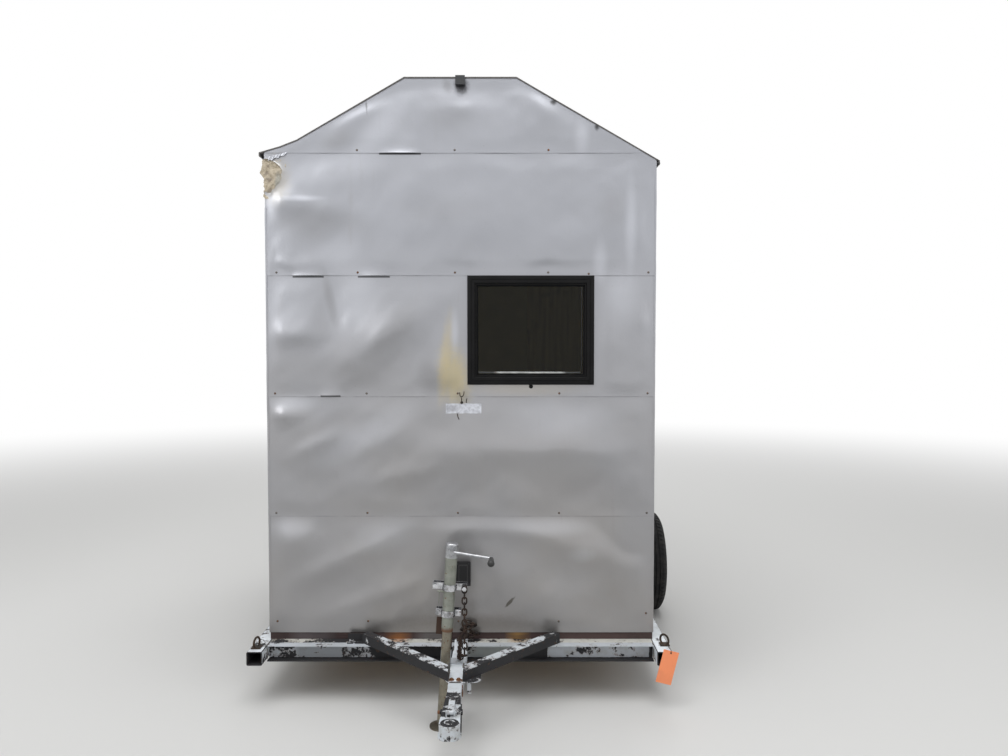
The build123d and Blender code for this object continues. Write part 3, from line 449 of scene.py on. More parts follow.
# Marks on the front: x, z, half length, half height, tilt in degrees; a stain's amount and colour follow
SLASH = (0.231, 0.446, 0.031, 0.007, 48.0)
FRONT_STAINS = (
    (-0.030, 1.52, 0.060, 0.12, 8.0, 0.62, (0.54, 0.45, 0.23)),
    (-0.075, 1.60, 0.022, 0.17, -6.0, 0.48, (0.54, 0.46, 0.28)),
    (0.30, 1.47, 0.22, 0.035, 0.0, 0.25, (0.44, 0.38, 0.27)),
    (0.004, 2.868, 0.028, 0.032, 0.0, 0.95, (0.05, 0.05, 0.055)),
    (-0.06, 2.87, 0.018, 0.03, 20.0, 0.4, (0.20, 0.20, 0.20)),
    (0.006, 1.425, 0.03, 0.04, 0.0, 0.35, (0.25, 0.24, 0.22)),
    (0.05, 0.33, 0.25, 0.05, 0.0, 0.45, (0.20, 0.18, 0.16)),
    (-0.03, 0.42, 0.10, 0.10, 0.0, 0.30, (0.20, 0.19, 0.18)),
    (-0.22, 0.345, 0.12, 0.03, 8.0, 0.30, (0.17, 0.16, 0.15)),
    (0.17, 0.345, 0.15, 0.028, -6.0, 0.28, (0.18, 0.165, 0.155)),
    (0.433, 2.797, 0.012, 0.012, 0.0, 0.90, (0.06, 0.06, 0.06)),
    (0.635, 2.683, 0.010, 0.013, 0.0, 0.90, (0.06, 0.06, 0.06)),
    (-0.436, 2.776, 0.004, 0.030, 4.0, 0.60, (0.10, 0.10, 0.10)),
    (-0.86, 2.44, 0.055, 0.09, 0.0, 0.40, (0.50, 0.45, 0.34)),
)
# The photograph's scale on the front wall, metres to a pixel, and one point: x, z, pixels across and down
PIXEL, POINT_X, POINT_Z, POINT_ACROSS, POINT_DOWN = 0.0047, 0.203, 1.515, 504, 378
# The corner of the cut-out that the patches of painted highlight and shade were read off, and how far it was
# enlarged
CORNER_ACROSS, CORNER_DOWN, ENLARGED = 236, 76, 2
# Patches of painted highlight and painted shade over the front's dents, in pixels of that cut-out: across,
# down, half length, half height, then the tilt in degrees and how much lighter (painted highlight) or darker
# (painted shade)
SHEEN_BLUR, SHEEN_EDGE = 0.85, 0.85
FRONT_SHEEN_AND_SHADE = (
    (290, 108, 62, 24, 48, 0.55), (690, 125, 14, 32, 0, 0.50), (200, 190, 95, 26, 8, 0.40),
    (125, 247, 46, 6, 0, 0.90), (212, 350, 42, 46, 20, 0.45), (788, 300, 11, 84, 0, 0.50),
    (728, 370, 13, 38, 0, 0.50), (98, 458, 52, 56, 0, 0.42), (238, 452, 42, 62, -25, 0.60),
    (437, 515, 8, 44, 0, 0.50), (772, 440, 32, 52, 0, 0.40), (108, 655, 46, 16, 0, 0.55),
    (262, 716, 95, 26, 32, 0.50), (650, 688, 105, 34, 0, 0.35), (108, 908, 50, 24, 0, 0.35),
    (292, 922, 62, 28, 20, 0.30), (622, 905, 75, 18, 0, 0.35), (700, 962, 30, 14, 0, 0.30),
    (205, 132, 32, 18, 30, -0.45), (430, 88, 48, 26, 0, -0.30), (168, 298, 95, 44, -12, -0.55),
    (425, 268, 80, 28, 0, -0.25), (752, 268, 30, 36, 0, -0.40), (188, 445, 9, 50, 12, -0.50),
    (320, 500, 70, 22, 50, -0.40), (210, 592, 170, 36, 0, -0.35), (386, 592, 20, 40, 0, -0.40),
    (170, 702, 62, 16, 25, -0.45), (385, 795, 135, 48, 0, -0.30), (690, 822, 115, 30, 0, -0.35),
    (430, 975, 62, 40, 0, -0.30), (762, 985, 46, 60, 0, -0.35), (180, 1010, 70, 22, 25, -0.25),
)
# Laps that gape on the front: height of the seam, and start and end along the wall
OPEN_LAPS = ((1.993, 0.126, 0.272), (1.993, 0.432, 0.582), (1.432, 0.253, 0.347), (2.564, 0.535, 0.730))


def sheen_patch_in_metres(across, down, half_length, half_height):
    """Place and half sizes of one patch of painted light on the front wall, to the millimetre."""
    x = POINT_X + (CORNER_ACROSS + across / ENLARGED - POINT_ACROSS) * PIXEL
    z = POINT_Z + (POINT_DOWN - CORNER_DOWN - down / ENLARGED) * PIXEL
    return [round(size, 3) for size in (x, z, half_length / ENLARGED * PIXEL, half_height / ENLARGED * PIXEL)]


def painted_front_sheen(finish, color):
    """A colour with the front's painted highlights and shade over its dents: blurred ellipses summed, a
    bluish painted highlight above 0, painted shade below.
    """
    total = None
    for *pixels, turn, amount in FRONT_SHEEN_AND_SHADE:
        x, z, half_length, half_height = sheen_patch_in_metres(*pixels)
        patch = finish.spot(x, z, half_length * SHEEN_BLUR, half_height * SHEEN_BLUR, turn, SHEEN_EDGE)
        patch = finish.times(patch, amount)
        total = patch if total is None else finish.plus(total, patch)
    lighter = finish.ramp(total, 0.0, 1.0, smooth=False)
    darker = finish.ramp(total, 0.0, -1.0, smooth=False)
    # A bluish painted highlight where the sum is above 0 and a grey painted shade where it is below
    return finish.tint(color, [(lighter, 0.55, (0.70, 0.72, 0.78)), (darker, 0.55, (0.19, 0.185, 0.18))])


def front_marks(finish):
    """Steps for tint: the front's stains, the slash and a painted shadow under its gaping laps."""
    marks = [(finish.spot(*place, edge=0.7, ragged=0.9), amount, color)
             for *place, amount, color in FRONT_STAINS]
    marks.append((finish.spot(*SLASH, edge=0.3, ragged=1.3, deep=0.05), 0.85, (0.10, 0.09, 0.075)))
    # Painted shadow: a near-black band just under the edge of each gaping lap
    for seam, start, end in OPEN_LAPS:
        gap = finish.within(0.002, X=(start - HALF_WIDTH, end - HALF_WIDTH), Z=(seam - 0.0075, seam + 0.001))
        marks.append((gap, 0.85, (0.03, 0.03, 0.03)))
    return marks


def siding_sheet(name, colors, seams=(), front=False, metallic=0.82):
    """Mill aluminium gone dull: cloudy oxide, rolling lines, faint runs of dirt, painted reflection that
    makes it bluer and lighter high up and browner and darker at the foot, painted shade under each lap, and
    on the front painted highlights and shade over the dents.
    """
    finish = Finish(name, metallic=metallic)
    clouds = finish.noise(2.0, 3.0)
    blotches = finish.noise(9.0, 5.0, 0.6, (1, 1, 0.7))
    runs = finish.noise(26.0, 3.0, 0.5, (1, 1, 0.05))
    rolled = finish.noise(90.0, 2.0, 0.5, (1.6, 1.6, 0.03))
    # Painted reflection: from 0.3 m up to 2.2 m the colour runs from the darker, browner foot colour, the
    # ground mirrored, to the lighter, bluer top colour, the sky mirrored
    height = finish.ramp(finish.split.outputs["Z"], 0.3, 2.2, smooth=False)
    base = finish.blend(height, tuple(colors.siding_low_with_ground_reflection), tuple(colors.siding_high_with_sky_reflection))
    soft = finish.times(finish.ramp(clouds, 0.35, 0.7), 0.4)
    dull = finish.blend(soft, base, scaled(colors.siding_high_with_sky_reflection, 0.86))
    dirt = finish.times(finish.ramp(runs, 0.56, 0.78), finish.ramp(blotches, 0.45, 0.8))
    smears = finish.ramp(finish.noise(5.0, 5.0, 0.65, shift=(5, 3, 8)), 0.55, 0.75)
    specks = finish.ramp(finish.noise(140.0, 3.0, 0.6, shift=(2, 2, 2)), 0.68, 0.74)
    changes = [(dirt, 0.28, (0.27, 0.25, 0.23)), (smears, 0.16, (0.36, 0.36, 0.37)),
               (specks, 0.35, (0.20, 0.19, 0.18))]
    # Painted shade: a dark line just under the lower edge of each lap, in patches
    for seam in seams[1:]:
        lap = finish.times(finish.within(0.001, Z=(seam - 0.0045, seam + 0.0005)),
                           finish.ramp(blotches, 0.3, 0.6))
        changes.append((lap, 0.22, (0.10, 0.10, 0.10)))
    if front:
        # Painted highlights and shade over the front's dents
        dull = painted_front_sheen(finish, dull)
        changes += front_marks(finish)
    rough = finish.plus(finish.between(blotches, 0.20, 0.34), finish.between(clouds, 0.0, 0.12))
    return finish.dressed(finish.tint(dull, changes), rough, [(rolled, 0.00005), (blotches, 0.0012)])


def chipped_paint(name, paint, low=0.56, high=0.60, chips=(), rings=(), tints=(),
                  rust=(0.07, 0.035, 0.02), rusty=(), rust_low=0.6, dirt=0.5):
    """White paint over dark primer: flaked in patches, rusty inside some, with grime on the rest.

    Noise above a threshold is bare. Each chips entry (amount, limits) adds to the noise there, and each
    rings entry (amount, centre, inner, outer) between two radii of an upright axis. Each tints entry
    (amount, colour, limits) colours the coat, and each rusty entry adds to the rust.
    """
    finish = Finish(name, roughness=0.5)
    patches = finish.noise(14.0, 6.0, 0.68)
    small = finish.noise(75.0, 5.0, 0.6, shift=(3, 1, 2))
    worn = finish.plus(finish.times(patches, 0.72), finish.times(small, 0.28))
    worn = finish.raised(worn, chips)
    for amount, centre, inner, outer in rings:
        away = finish.around(centre, (1.0, 1.0, 1000.0))
        band = finish.times(finish.ramp(away, inner - 0.002, inner + 0.002),
                            finish.ramp(away, outer + 0.002, outer - 0.002))
        worn = finish.plus(worn, finish.times(band, amount))
    chipped = finish.ramp(worn, low, high)
    edge = finish.minus(finish.ramp(worn, low - 0.018, high - 0.018), chipped)
    grime = finish.ramp(finish.noise(24.0, 5.0, 0.6, shift=(7, 2, 5)), 0.42, 0.8)
    coat = finish.blend(finish.times(grime, dirt), paint, (0.30, 0.29, 0.26))
    coat = finish.tint(coat, finish.patches(tints, 0.02))
    coat = finish.blend(finish.times(edge, 0.5), coat, (0.26, 0.16, 0.10))
    stain = finish.raised(finish.noise(46.0, 4.0, 0.6, shift=(1, 9, 4)), rusty)
    metal = finish.blend(finish.ramp(stain, rust_low, rust_low + 0.12), (0.013, 0.013, 0.015), rust)
    return finish.dressed(finish.blend(chipped, coat, metal), finish.between(chipped, 0.42, 0.8),
                          [(finish.minus(1.0, chipped), 0.0005), (small, 0.0004)])


def rusty_steel(name, dark=(0.05, 0.028, 0.018), light=(0.20, 0.085, 0.035), metallic=0.2):
    """Bare steel under brown rust, rough and pitted."""
    finish = Finish(name, metallic=metallic)
    patches = finish.noise(38.0, 6.0, 0.65)
    pits = finish.noise(240.0, 3.0, 0.6)
    return finish.dressed(finish.blend(finish.ramp(patches, 0.35, 0.65), dark, light),
                          finish.between(patches, 0.6, 0.95), [(pits, 0.0005)])


def plated_steel(name, color, roughness=0.35, rust=0.66, tints=(), metallic=0.9, shade=0.62):
    """Zinc plate: cloudy, scratched, with rust coming through in spots and where tints say."""
    finish = Finish(name, metallic=metallic)
    clouds = finish.noise(26.0, 5.0, 0.6)
    scratches = finish.noise(300.0, 2.0, 0.5, (1, 1, 0.08))
    spots = finish.ramp(finish.noise(70.0, 5.0, 0.65, shift=(4, 4, 1)), rust, rust + 0.08)
    coat = finish.blend(finish.ramp(clouds, 0.3, 0.7), scaled(color, shade), color)
    changes = [(spots, 1.0, (0.16, 0.07, 0.03)), *finish.patches(tints)]
    rough = finish.between(clouds, roughness, roughness + 0.25)
    return finish.dressed(finish.tint(coat, changes), rough, [(clouds, 0.0003), (scratches, 0.00008)])


def plain_finish(name, color, roughness=0.6, metallic=0.0, grain=60.0, spread=0.35, tints=(),
                 specular=0.5):
    """An even finish with faint blotches, a change of gloss and a fine grain."""
    finish = Finish(name, metallic=metallic).set("Specular IOR Level", specular)
    blotches = finish.noise(9.0, 5.0, 0.6)
    fine = finish.noise(grain, 4.0, 0.6)
    coat = finish.blend(finish.ramp(blotches, 0.3, 0.7), scaled(color, 1 - spread), color)
    rough = finish.between(fine, roughness - 0.12, roughness + 0.12)
    return finish.dressed(finish.tint(coat, finish.patches(tints)), rough, [(fine, 0.0003)])


def board(name, light, dark, stretch, tints=()):
    """Wood with grain streaks, long where the stretch is small, and a few dark stains."""
    finish = Finish(name)
    streaks = finish.noise(42.0, 5.0, 0.6, stretch)
    stains = finish.noise(6.0, 4.0, 0.6)
    grain = finish.blend(finish.ramp(streaks, 0.35, 0.68), light, dark)
    changes = [(finish.ramp(stains, 0.55, 0.8), 1.0, scaled(dark, 0.45))]
    for amount, color, limits in tints:
        patch = finish.times(finish.within(soft=0.03, **limits), finish.ramp(streaks, 0.25, 0.5))
        changes.append((patch, amount, color))
    return finish.dressed(finish.tint(grain, changes), finish.between(streaks, 0.6, 0.85),
                          [(streaks, 0.0008)])


def roofing(color):
    """Rolled roofing with stone grit, worn streaks down the slopes and pale dust."""
    finish = Finish("roofing_grit", roughness=0.9)
    grit = finish.cells(420.0)
    worn = finish.noise(5.0, 5.0, 0.6)
    streaks = finish.noise(16.0, 4.0, 0.6, (0.12, 1, 0.12))
    tone = finish.blend(finish.ramp(worn, 0.3, 0.7), tuple(color), scaled(color, 2.2))
    specks = finish.blend(finish.ramp(grit, 0.25, 0.55), tone, (0.16, 0.15, 0.145))
    dull = finish.times(finish.ramp(streaks, 0.5, 0.75), 0.5)
    color = finish.blend(dull, specks, (0.09, 0.085, 0.075))
    return finish.dressed(color, bumps=[(grit, 0.0012), (worn, 0.004)])


def tyre_rubber():
    """Old black rubber: greyed by dust, with fine cracks."""
    finish = Finish("tyre_rubber", roughness=0.75).set("Specular IOR Level", 0.25)
    dust = finish.ramp(finish.noise(20.0, 5.0, 0.6), 0.4, 0.8)
    cracks = finish.cells(160.0, "DISTANCE_TO_EDGE")
    return finish.dressed(finish.blend(dust, (0.009, 0.009, 0.0095), (0.034, 0.032, 0.029)),
                          bumps=[(finish.ramp(cracks, 0.0, 0.08), 0.0004)])


def dark_glass():
    """Single glazing, a little green, with a film of dust that dulls it in patches."""
    finish = Finish("window_pane", (0.35, 0.31, 0.13), roughness=0.03)
    finish.set("Transmission Weight", 1.0).set("IOR", 1.27).set("Specular IOR Level", 0.08)
    finish.feed("Roughness", finish.between(finish.noise(9.0, 4.0, 0.6), 0.0, 0.10))
    return finish.material


# Pits in the foam of the torn corner: x, z, radius
FOAM_PITS = ((-0.905, 2.470, 0.010), (-0.893, 2.440, 0.013), (-0.889, 2.386, 0.014), (-0.897, 2.503, 0.007))


def old_foam():
    """Old foam board and splintered wood in tan and straw, with dark pits."""
    finish = Finish("old_foam", roughness=0.95)
    lumps = finish.noise(55.0, 5.0, 0.65)
    fibres = finish.noise(160.0, 4.0, 0.6, (1, 1, 0.25))
    tone = finish.blend(finish.ramp(lumps, 0.32, 0.66), (0.40, 0.34, 0.25), (0.58, 0.51, 0.40))
    changes = [(finish.ramp(fibres, 0.55, 0.7), 0.25, (0.27, 0.21, 0.14))]
    for x, z, radius in FOAM_PITS:
        pit = finish.spot(x, z, radius, radius * 0.8, 30, 0.7, 1.6, deep=0.05)
        changes.append((pit, 0.5, (0.12, 0.09, 0.085)))
    bruise = finish.spot(-0.850, 2.425, 0.016, 0.045, 0, 0.5, 0.3, deep=0.05)
    changes.append((bruise, 0.6, (0.32, 0.34, 0.33)))
    return finish.dressed(finish.tint(tone, changes), bumps=[(lumps, 0.004), (fibres, 0.001)])


class HutColors(bpy.types.PropertyGroup):
    """Colours of the larger surfaces."""

    # The siding's colours high and low on the walls: the aluminium's own tone with painted reflection of the
    # sky above and of the ground below
    siding_high_with_sky_reflection: bpy.props.FloatVectorProperty(
        name="Siding top", description="Aluminium high on the walls", size=3, subtype="COLOR",
        default=(0.40, 0.41, 0.445), min=0, max=1)
    siding_low_with_ground_reflection: bpy.props.FloatVectorProperty(
        name="Siding foot", description="Aluminium low on the walls", size=3, subtype="COLOR",
        default=(0.34, 0.325, 0.312), min=0, max=1)
    paint: bpy.props.FloatVectorProperty(
        name="Frame paint", description="Paint on the trailer frame", size=3, subtype="COLOR",
        default=(0.60, 0.64, 0.68), min=0, max=1)
    roof: bpy.props.FloatVectorProperty(
        name="Roofing", description="Roof covering", size=3, subtype="COLOR",
        default=(0.022, 0.022, 0.024), min=0, max=1)
    tag: bpy.props.FloatVectorProperty(
        name="Tag", description="Marker tag on the right rail", size=3, subtype="COLOR",
        default=(1.0, 0.32, 0.14), min=0, max=1)


class HutSizes(bpy.types.PropertyGroup):
    """Sizes of the siding and its fixings."""

    first_course: bpy.props.FloatProperty(
        name="First course", description="Exposed height of the lowest sheet", default=0.560, unit="LENGTH")
    course: bpy.props.FloatProperty(
        name="Course", description="Exposed height of the other sheets", default=0.568, unit="LENGTH")
    lap: bpy.props.FloatProperty(
        name="Lap", description="Height that a sheet runs up behind the next", default=0.025, unit="LENGTH")
    dent: bpy.props.FloatProperty(
        name="Dents", description="Most that a random swell stands out", default=0.012, unit="LENGTH")
    cell: bpy.props.FloatProperty(
        name="Grid", description="Spacing of the points on the sheets", default=0.016, unit="LENGTH")
    nail: bpy.props.FloatProperty(
        name="Nail head", description="Radius of a siding nail's head", default=0.0055, unit="LENGTH")
    tread: bpy.props.FloatProperty(
        name="Tread", description="Depth of the cuts in the tyre's shoulders", default=0.005, unit="LENGTH")
    wire: bpy.props.FloatProperty(
        name="Chain wire", description="Thickness of the safety chain's wire", default=0.0068, unit="LENGTH")


class StageSettings(bpy.types.PropertyGroup):
    """Camera and light."""

    camera_at: bpy.props.FloatVectorProperty(
        name="Camera", description="Where the camera stands", size=3, unit="LENGTH",
        default=(0.203, -4.638, 1.670))
    pitch: bpy.props.FloatProperty(
        name="Pitch", description="How far the camera looks down", default=math.radians(2.32),
        unit="ROTATION")
    lens: bpy.props.FloatProperty(
        name="Lens", description="Focal length", default=29.107, unit="CAMERA")
    floor: bpy.props.FloatVectorProperty(
        name="Floor", description="Floor colour", size=3, subtype="COLOR", default=(0.66, 0.66, 0.65))
    overhead: bpy.props.FloatProperty(
        name="Overhead", description="Power of the lamp above the front", default=330.0, unit="POWER")
    fill: bpy.props.FloatProperty(
        name="Fill", description="Strength of the world's light on the object", default=0.42,
        subtype="FACTOR")


def roof_corners(top):
    """Corners (x, z) of the roof's outline from the left eave to the right, its flat part at a height."""
    x = np.array([-HALF_WIDTH, KICK_SECOND_RUN - HALF_WIDTH, KICK_RUN - HALF_WIDTH, -ROOF_FLAT_HALF,
                  ROOF_FLAT_HALF, HALF_WIDTH])
    rise = np.array([KICK_EAVE_RISE, KICK_MIDDLE_RISE, 0, 0, 0, 0])
    return np.stack([x, top - (np.abs(x) - ROOF_FLAT_HALF) * math.tan(ROOF_PITCH) + rise], -1)


def slope_edge(z, left):
    """How far from the centre the roof's outline stands at heights z, on the left or right."""
    corners = roof_corners(ROOF_TOP)
    slope = corners[:4] if left else corners[:3:-1]
    return np.interp(z, slope[:, 1], np.abs(slope[:, 0]))


class Wall:
    """One wall's plane: a start point, a way along it, and the way out of it."""

    def __init__(self, name, start, along, length, top, seed):
        self.name = name
        self.start = np.array(start, float)
        self.along = np.array(along, float)
        self.out = np.cross(self.along, (0, 0, 1.0))
        self.length = length
        self.top = top
        self.gable = top == ROOF_TOP
        self.seed = seed

    def points(self, s, z, h):
        """Places at distance s along the wall, height z and h out of its core plane."""
        s, z, h = np.broadcast_arrays(s, z, h)
        return (self.start + s[..., None] * self.along + h[..., None] * self.out
                + z[..., None] * np.array([0, 0, 1.0]))


DEPTH = WALL_REAR - WALL_FRONT - 2 * SKIN
WALLS = {
    "front": Wall("front", (-HALF_WIDTH, WALL_FRONT + SKIN, 0), (1, 0, 0), 2 * HALF_WIDTH, ROOF_TOP, 11),
    "right": Wall("right", (HALF_WIDTH - SKIN, WALL_FRONT + SKIN, 0), (0, 1, 0), DEPTH, SIDE_HIGH.z, 23),
    "rear": Wall("rear", (HALF_WIDTH, WALL_REAR - SKIN, 0), (-1, 0, 0), 2 * HALF_WIDTH, ROOF_TOP, 37),
    "left": Wall("left", (-HALF_WIDTH + SKIN, WALL_REAR - SKIN, 0), (0, -1, 0), DEPTH, LEFT_HIGH.z, 41),
}
LOWER_NAILS = np.array([-0.877, -0.445, -0.015, 0.464, 0.880]) + HALF_WIDTH
UPPER_NAILS = np.array([-0.864, -0.483, -0.027, 0.410, 0.880]) + HALF_WIDTH
UPPER_SEAM = 1.9
WINDOW_NAIL = (HALF_WIDTH + 0.600, 2.004)
FOOT_NAIL, CORNER_NAIL = 0.354, 0.393
# A nail's height over its seam, its distance from the wall's end, and how far it pins the sheet flat
NAIL_RISE, NAIL_MARGIN, NAIL_PINCH = 0.014, 0.035, 0.045
# Random swells: how many to a metre, half lengths, half heights and tilts, and their share on the front
SWELLS_PER_METRE, SWELL_LENGTHS, SWELL_HEIGHTS, SWELL_TILTS = 10, (0.10, 0.34), (0.05, 0.14), (-40, 40)
FRONT_SHARE = 0.16
# How steeply a swell falls off its ridge and how round the ridge is, then the waves over all of a sheet
RIDGE_FALL, RIDGE_ROUND = 2.2, 0.6
WAVE_LENGTHS, WAVE_HEIGHTS, WAVE_LIFT = (0.34, 0.17, 0.08), (0.0026, 0.0010, 0.0003), 0.003
# The run over which swells fade out at an edge, and what is left of them at a sheet's foot
FADE, FOOT_SHARE = 0.08, 0.15
# How far a foot springs out between nails or gapes at an open lap, and how far up each reaches
SPRING, SPRING_RISE = 0.0035, 0.05
GAPE, GAPE_RISE = 0.007, 0.03
# How far below the roof a gable's sheets run out, and how far behind the roofing's face they stop
VERGE_RUN, VERGE_BACK = 0.045, 0.003

# Swells of the front sheets: place along, height, half length, half height, tilt in degrees, rise in mm
FRONT_SWELLS = (
    (0.16, 2.330, 0.22, 0.075, -10, 14), (0.11, 2.035, 0.09, 0.05, 0, 10), (0.95, 2.25, 0.28, 0.13, 5, 8),
    (1.55, 2.2, 0.22, 0.16, 10, 10), (0.42, 2.73, 0.15, 0.065, 20, 9), (0.91, 2.77, 0.11, 0.06, 0, 6),
    (1.31, 2.77, 0.09, 0.09, -50, 10), (0.58, 1.735, 0.23, 0.1, 34, 26),
    (0.337, 1.89, 0.022, 0.1, 8, -10), (0.13, 1.72, 0.13, 0.07, 0, 15), (0.82, 1.58, 0.05, 0.13, -8, 8),
    (1.62, 1.7, 0.16, 0.16, 0, 10), (0.07, 1.34, 0.09, 0.05, 0, 14), (0.23, 1.2, 0.15, 0.075, 25, 15),
    (1.29, 1.175, 0.44, 0.11, 0, 24), (0.66, 1.06, 0.25, 0.07, 12, 8), (0.11, 0.73, 0.13, 0.1, 45, 12),
    (0.36, 0.655, 0.27, 0.065, 25, 12), (1.38, 0.73, 0.32, 0.08, -18, 15), (1.66, 0.8, 0.1, 0.09, 0, -8),
    (0.5, 0.47, 0.22, 0.055, 20, 9), (0.96, 0.8, 0.14, 0.06, 0, 9), (1.57, 0.5, 0.22, 0.1, 10, 8),
)


# The least height of a wall's top sheet, and the closest grid, at a foot and by the torn corner
LEAST_SHEET, FINE_GRID = 0.02, 0.009


def seam_heights(sizes):
    """Bottom height of each course."""
    heights = [SHELL_BOTTOM, SHELL_BOTTOM + sizes.first_course]
    while heights[-1] + sizes.course < ROOF_TOP - 0.05:
        heights.append(heights[-1] + sizes.course)
    return heights


def courses(wall, sizes):
    """Bottom and top height of each course that a wall has."""
    seams = seam_heights(sizes)
    return [(low, min(high, wall.top)) for low, high in zip(seams, seams[1:] + [wall.top])
            if low < wall.top - LEAST_SHEET]


def on_front(low, high, inset=0.0):
    """A piece's box as a rectangle (s0, s1, z0, z1) of the front wall, drawn in by an inset."""
    return (low.x + inset + HALF_WIDTH, high.x - inset + HALF_WIDTH, low.z + inset, high.z - inset)


def openings(wall):
    """Rectangles (s0, s1, z0, z1) that are cut out of a wall's sheets."""
    if wall.name == "front":
        return [on_front(WINDOW_LOW, WINDOW_HIGH, 0.020)]
    if wall.name == "rear":
        lip, below = 0.025, 0.01
        return [(HALF_WIDTH - DOOR_HIGH.x + lip, HALF_WIDTH - DOOR_LOW.x - lip,
                 SHELL_BOTTOM - below, DOOR_HIGH.z - lip)]
    return []


def covered(wall):
    """Rectangles where something lies on the sheet, so that it stays flat there."""
    if wall.name == "front":
        return [on_front(WINDOW_LOW, WINDOW_HIGH), on_front(BOX_LOW, BOX_HIGH)]
    if wall.name == "rear":
        return [(HALF_WIDTH - DOOR_HIGH.x - 0.05, HALF_WIDTH - DOOR_LOW.x, SHELL_BOTTOM, DOOR_HIGH.z)]
    return []


def nail_rows(wall, low):
    """Distances along the wall of the nails in the seam at a height."""
    if wall.name == "front":
        return UPPER_NAILS if low > UPPER_SEAM else LOWER_NAILS
    return np.linspace(NAIL_MARGIN, wall.length - NAIL_MARGIN, 5 if wall.gable else 6)


def wall_swells(wall, low, high, sizes):
    """Swells of one sheet: seeded random ones, and on the front, where those are low, the table's."""
    rng = np.random.default_rng(wall.seed * 1000 + int(round(low * 1000)))
    count = int(SWELLS_PER_METRE * wall.length)
    most = sizes.dent * 1000 * (FRONT_SHARE if wall.name == "front" else 1.0)
    ranges = ((0, wall.length), (low, high), SWELL_LENGTHS, SWELL_HEIGHTS, SWELL_TILTS, (-1, 1))
    swells = np.stack([rng.uniform(*limits, count) for limits in ranges], -1) * (1, 1, 1, 1, 1, most)
    if wall.name != "front":
        return swells
    placed = [swell for swell in FRONT_SWELLS if low <= swell[1] < high]
    return np.vstack([swells, np.reshape(placed, (-1, 6))])


def bulge(wall, s, z, low, high, sizes):
    """How far a sheet stands out of its flat plane.

    A sum of tilted swells, bell-shaped along and ridged across by the root of a square, plus gentle
    waves, raised to be nowhere negative, is faded to nothing at the top lap, at the wall's ends, round
    each nail and near what is fixed over it. Along the foot the sheet springs out between nails by a
    sine squared that dies away upwards, and more where a lap gapes. A gable's sheets run out to just
    behind the roofing's face at the top, by a bell of the depth under the roof's outline.
    """
    rng = np.random.default_rng(wall.seed * 2000 + int(round(low * 1000)))
    total = np.zeros(np.broadcast(s, z).shape)
    for cs, cz, ws, wz, tilt, rise in wall_swells(wall, low, high, sizes):
        ds, dz = s - cs, z - cz
        turn = math.radians(tilt)
        a = (ds * math.cos(turn) + dz * math.sin(turn)) / ws
        b = (-ds * math.sin(turn) + dz * math.cos(turn)) / wz
        ridge = np.sqrt(b * b + RIDGE_ROUND ** 2) - RIDGE_ROUND
        total += rise / 1000 * np.exp(-a * a - RIDGE_FALL * ridge)
    total += rough_field(s, z, wall.seed, WAVE_LENGTHS, WAVE_HEIGHTS)
    total = np.maximum(total + WAVE_LIFT, 0.0)
    nails = nail_rows(wall, low)
    fade = smooth_step(high + sizes.lap - z, sizes.lap * 0.6, sizes.lap + 0.09)
    fade = fade * smooth_step(np.minimum(s, wall.length - s), 0.0, FADE)
    fade = fade * (FOOT_SHARE + (1 - FOOT_SHARE) * smooth_step(z - low, 0.0, FADE))
    for s0, s1, z0, z1 in covered(wall):
        gap = np.hypot(np.maximum(np.maximum(s0 - s, s - s1), 0), np.maximum(np.maximum(z0 - z, z - z1), 0))
        fade = fade * smooth_step(gap, 0.004, FADE)
    pinned = np.ones_like(total)
    for nail in nails:
        pinned = pinned * (1 - np.exp(-((s - nail) ** 2 + (z - low - NAIL_RISE) ** 2) / NAIL_PINCH ** 2))
    spring = rng.uniform(0.3, 1.0, len(nails) + 1)
    bay = np.searchsorted(nails, np.broadcast_to(s, total.shape))
    edges = np.concatenate([[0.0], nails, [wall.length]])
    phase = (s - edges[bay]) / np.maximum(edges[bay + 1] - edges[bay], 1e-6)
    arch = np.sin(np.pi * np.clip(phase, 0, 1)) ** 2
    lifted = SPRING * spring[bay] * arch * np.exp(-(z - low) / SPRING_RISE)
    if low < SHELL_BOTTOM + 0.01:
        lifted = lifted * 0.3
    if wall.name == "front":
        for seam, start, end in OPEN_LAPS:
            if abs(seam - low) < 0.01:
                share = np.clip((s - start) / (end - start), 0, 1)
                lifted = lifted + GAPE * np.sin(np.pi * share) ** 0.7 * np.exp(-(z - low) / GAPE_RISE)
    height = (total * fade + lifted) * pinned
    if not wall.gable:
        return height
    across = wall.points(s, z, np.zeros_like(total))[..., 0]
    roof = np.interp(across, *roof_corners(ROOF_TOP).T)
    verge = np.exp(-(np.maximum(roof - z, 0) / VERGE_RUN) ** 2)
    overhang = WALL_FRONT - COVER_LOW.y if wall.name == "front" else COVER_HIGH.y - WALL_REAR
    return height + (overhang - VERGE_BACK - height) * verge


def sheet_height(wall, s, z, low, high, sizes):
    """How far the sheet from low to high stands out: one lap's lift at its top, two at its foot."""
    share = (z - low) / (high + sizes.lap - low)
    return LAP_LIFT * (2 - share) + bulge(wall, s, z, low, high, sizes)


def on_skin(wall, s, z, sizes, lift=0.0):
    """Places at (s, z) on the outside of a wall's sheets, or a lift above it."""
    s, z = np.broadcast_arrays(np.asarray(s, float), np.asarray(z, float))
    height = np.zeros(s.shape)
    for low, high in courses(wall, sizes):
        here = (z >= low) & (z < high)
        height = np.where(here, sheet_height(wall, s, z, low, high, sizes), height)
    return wall.points(s, z, height + lift)


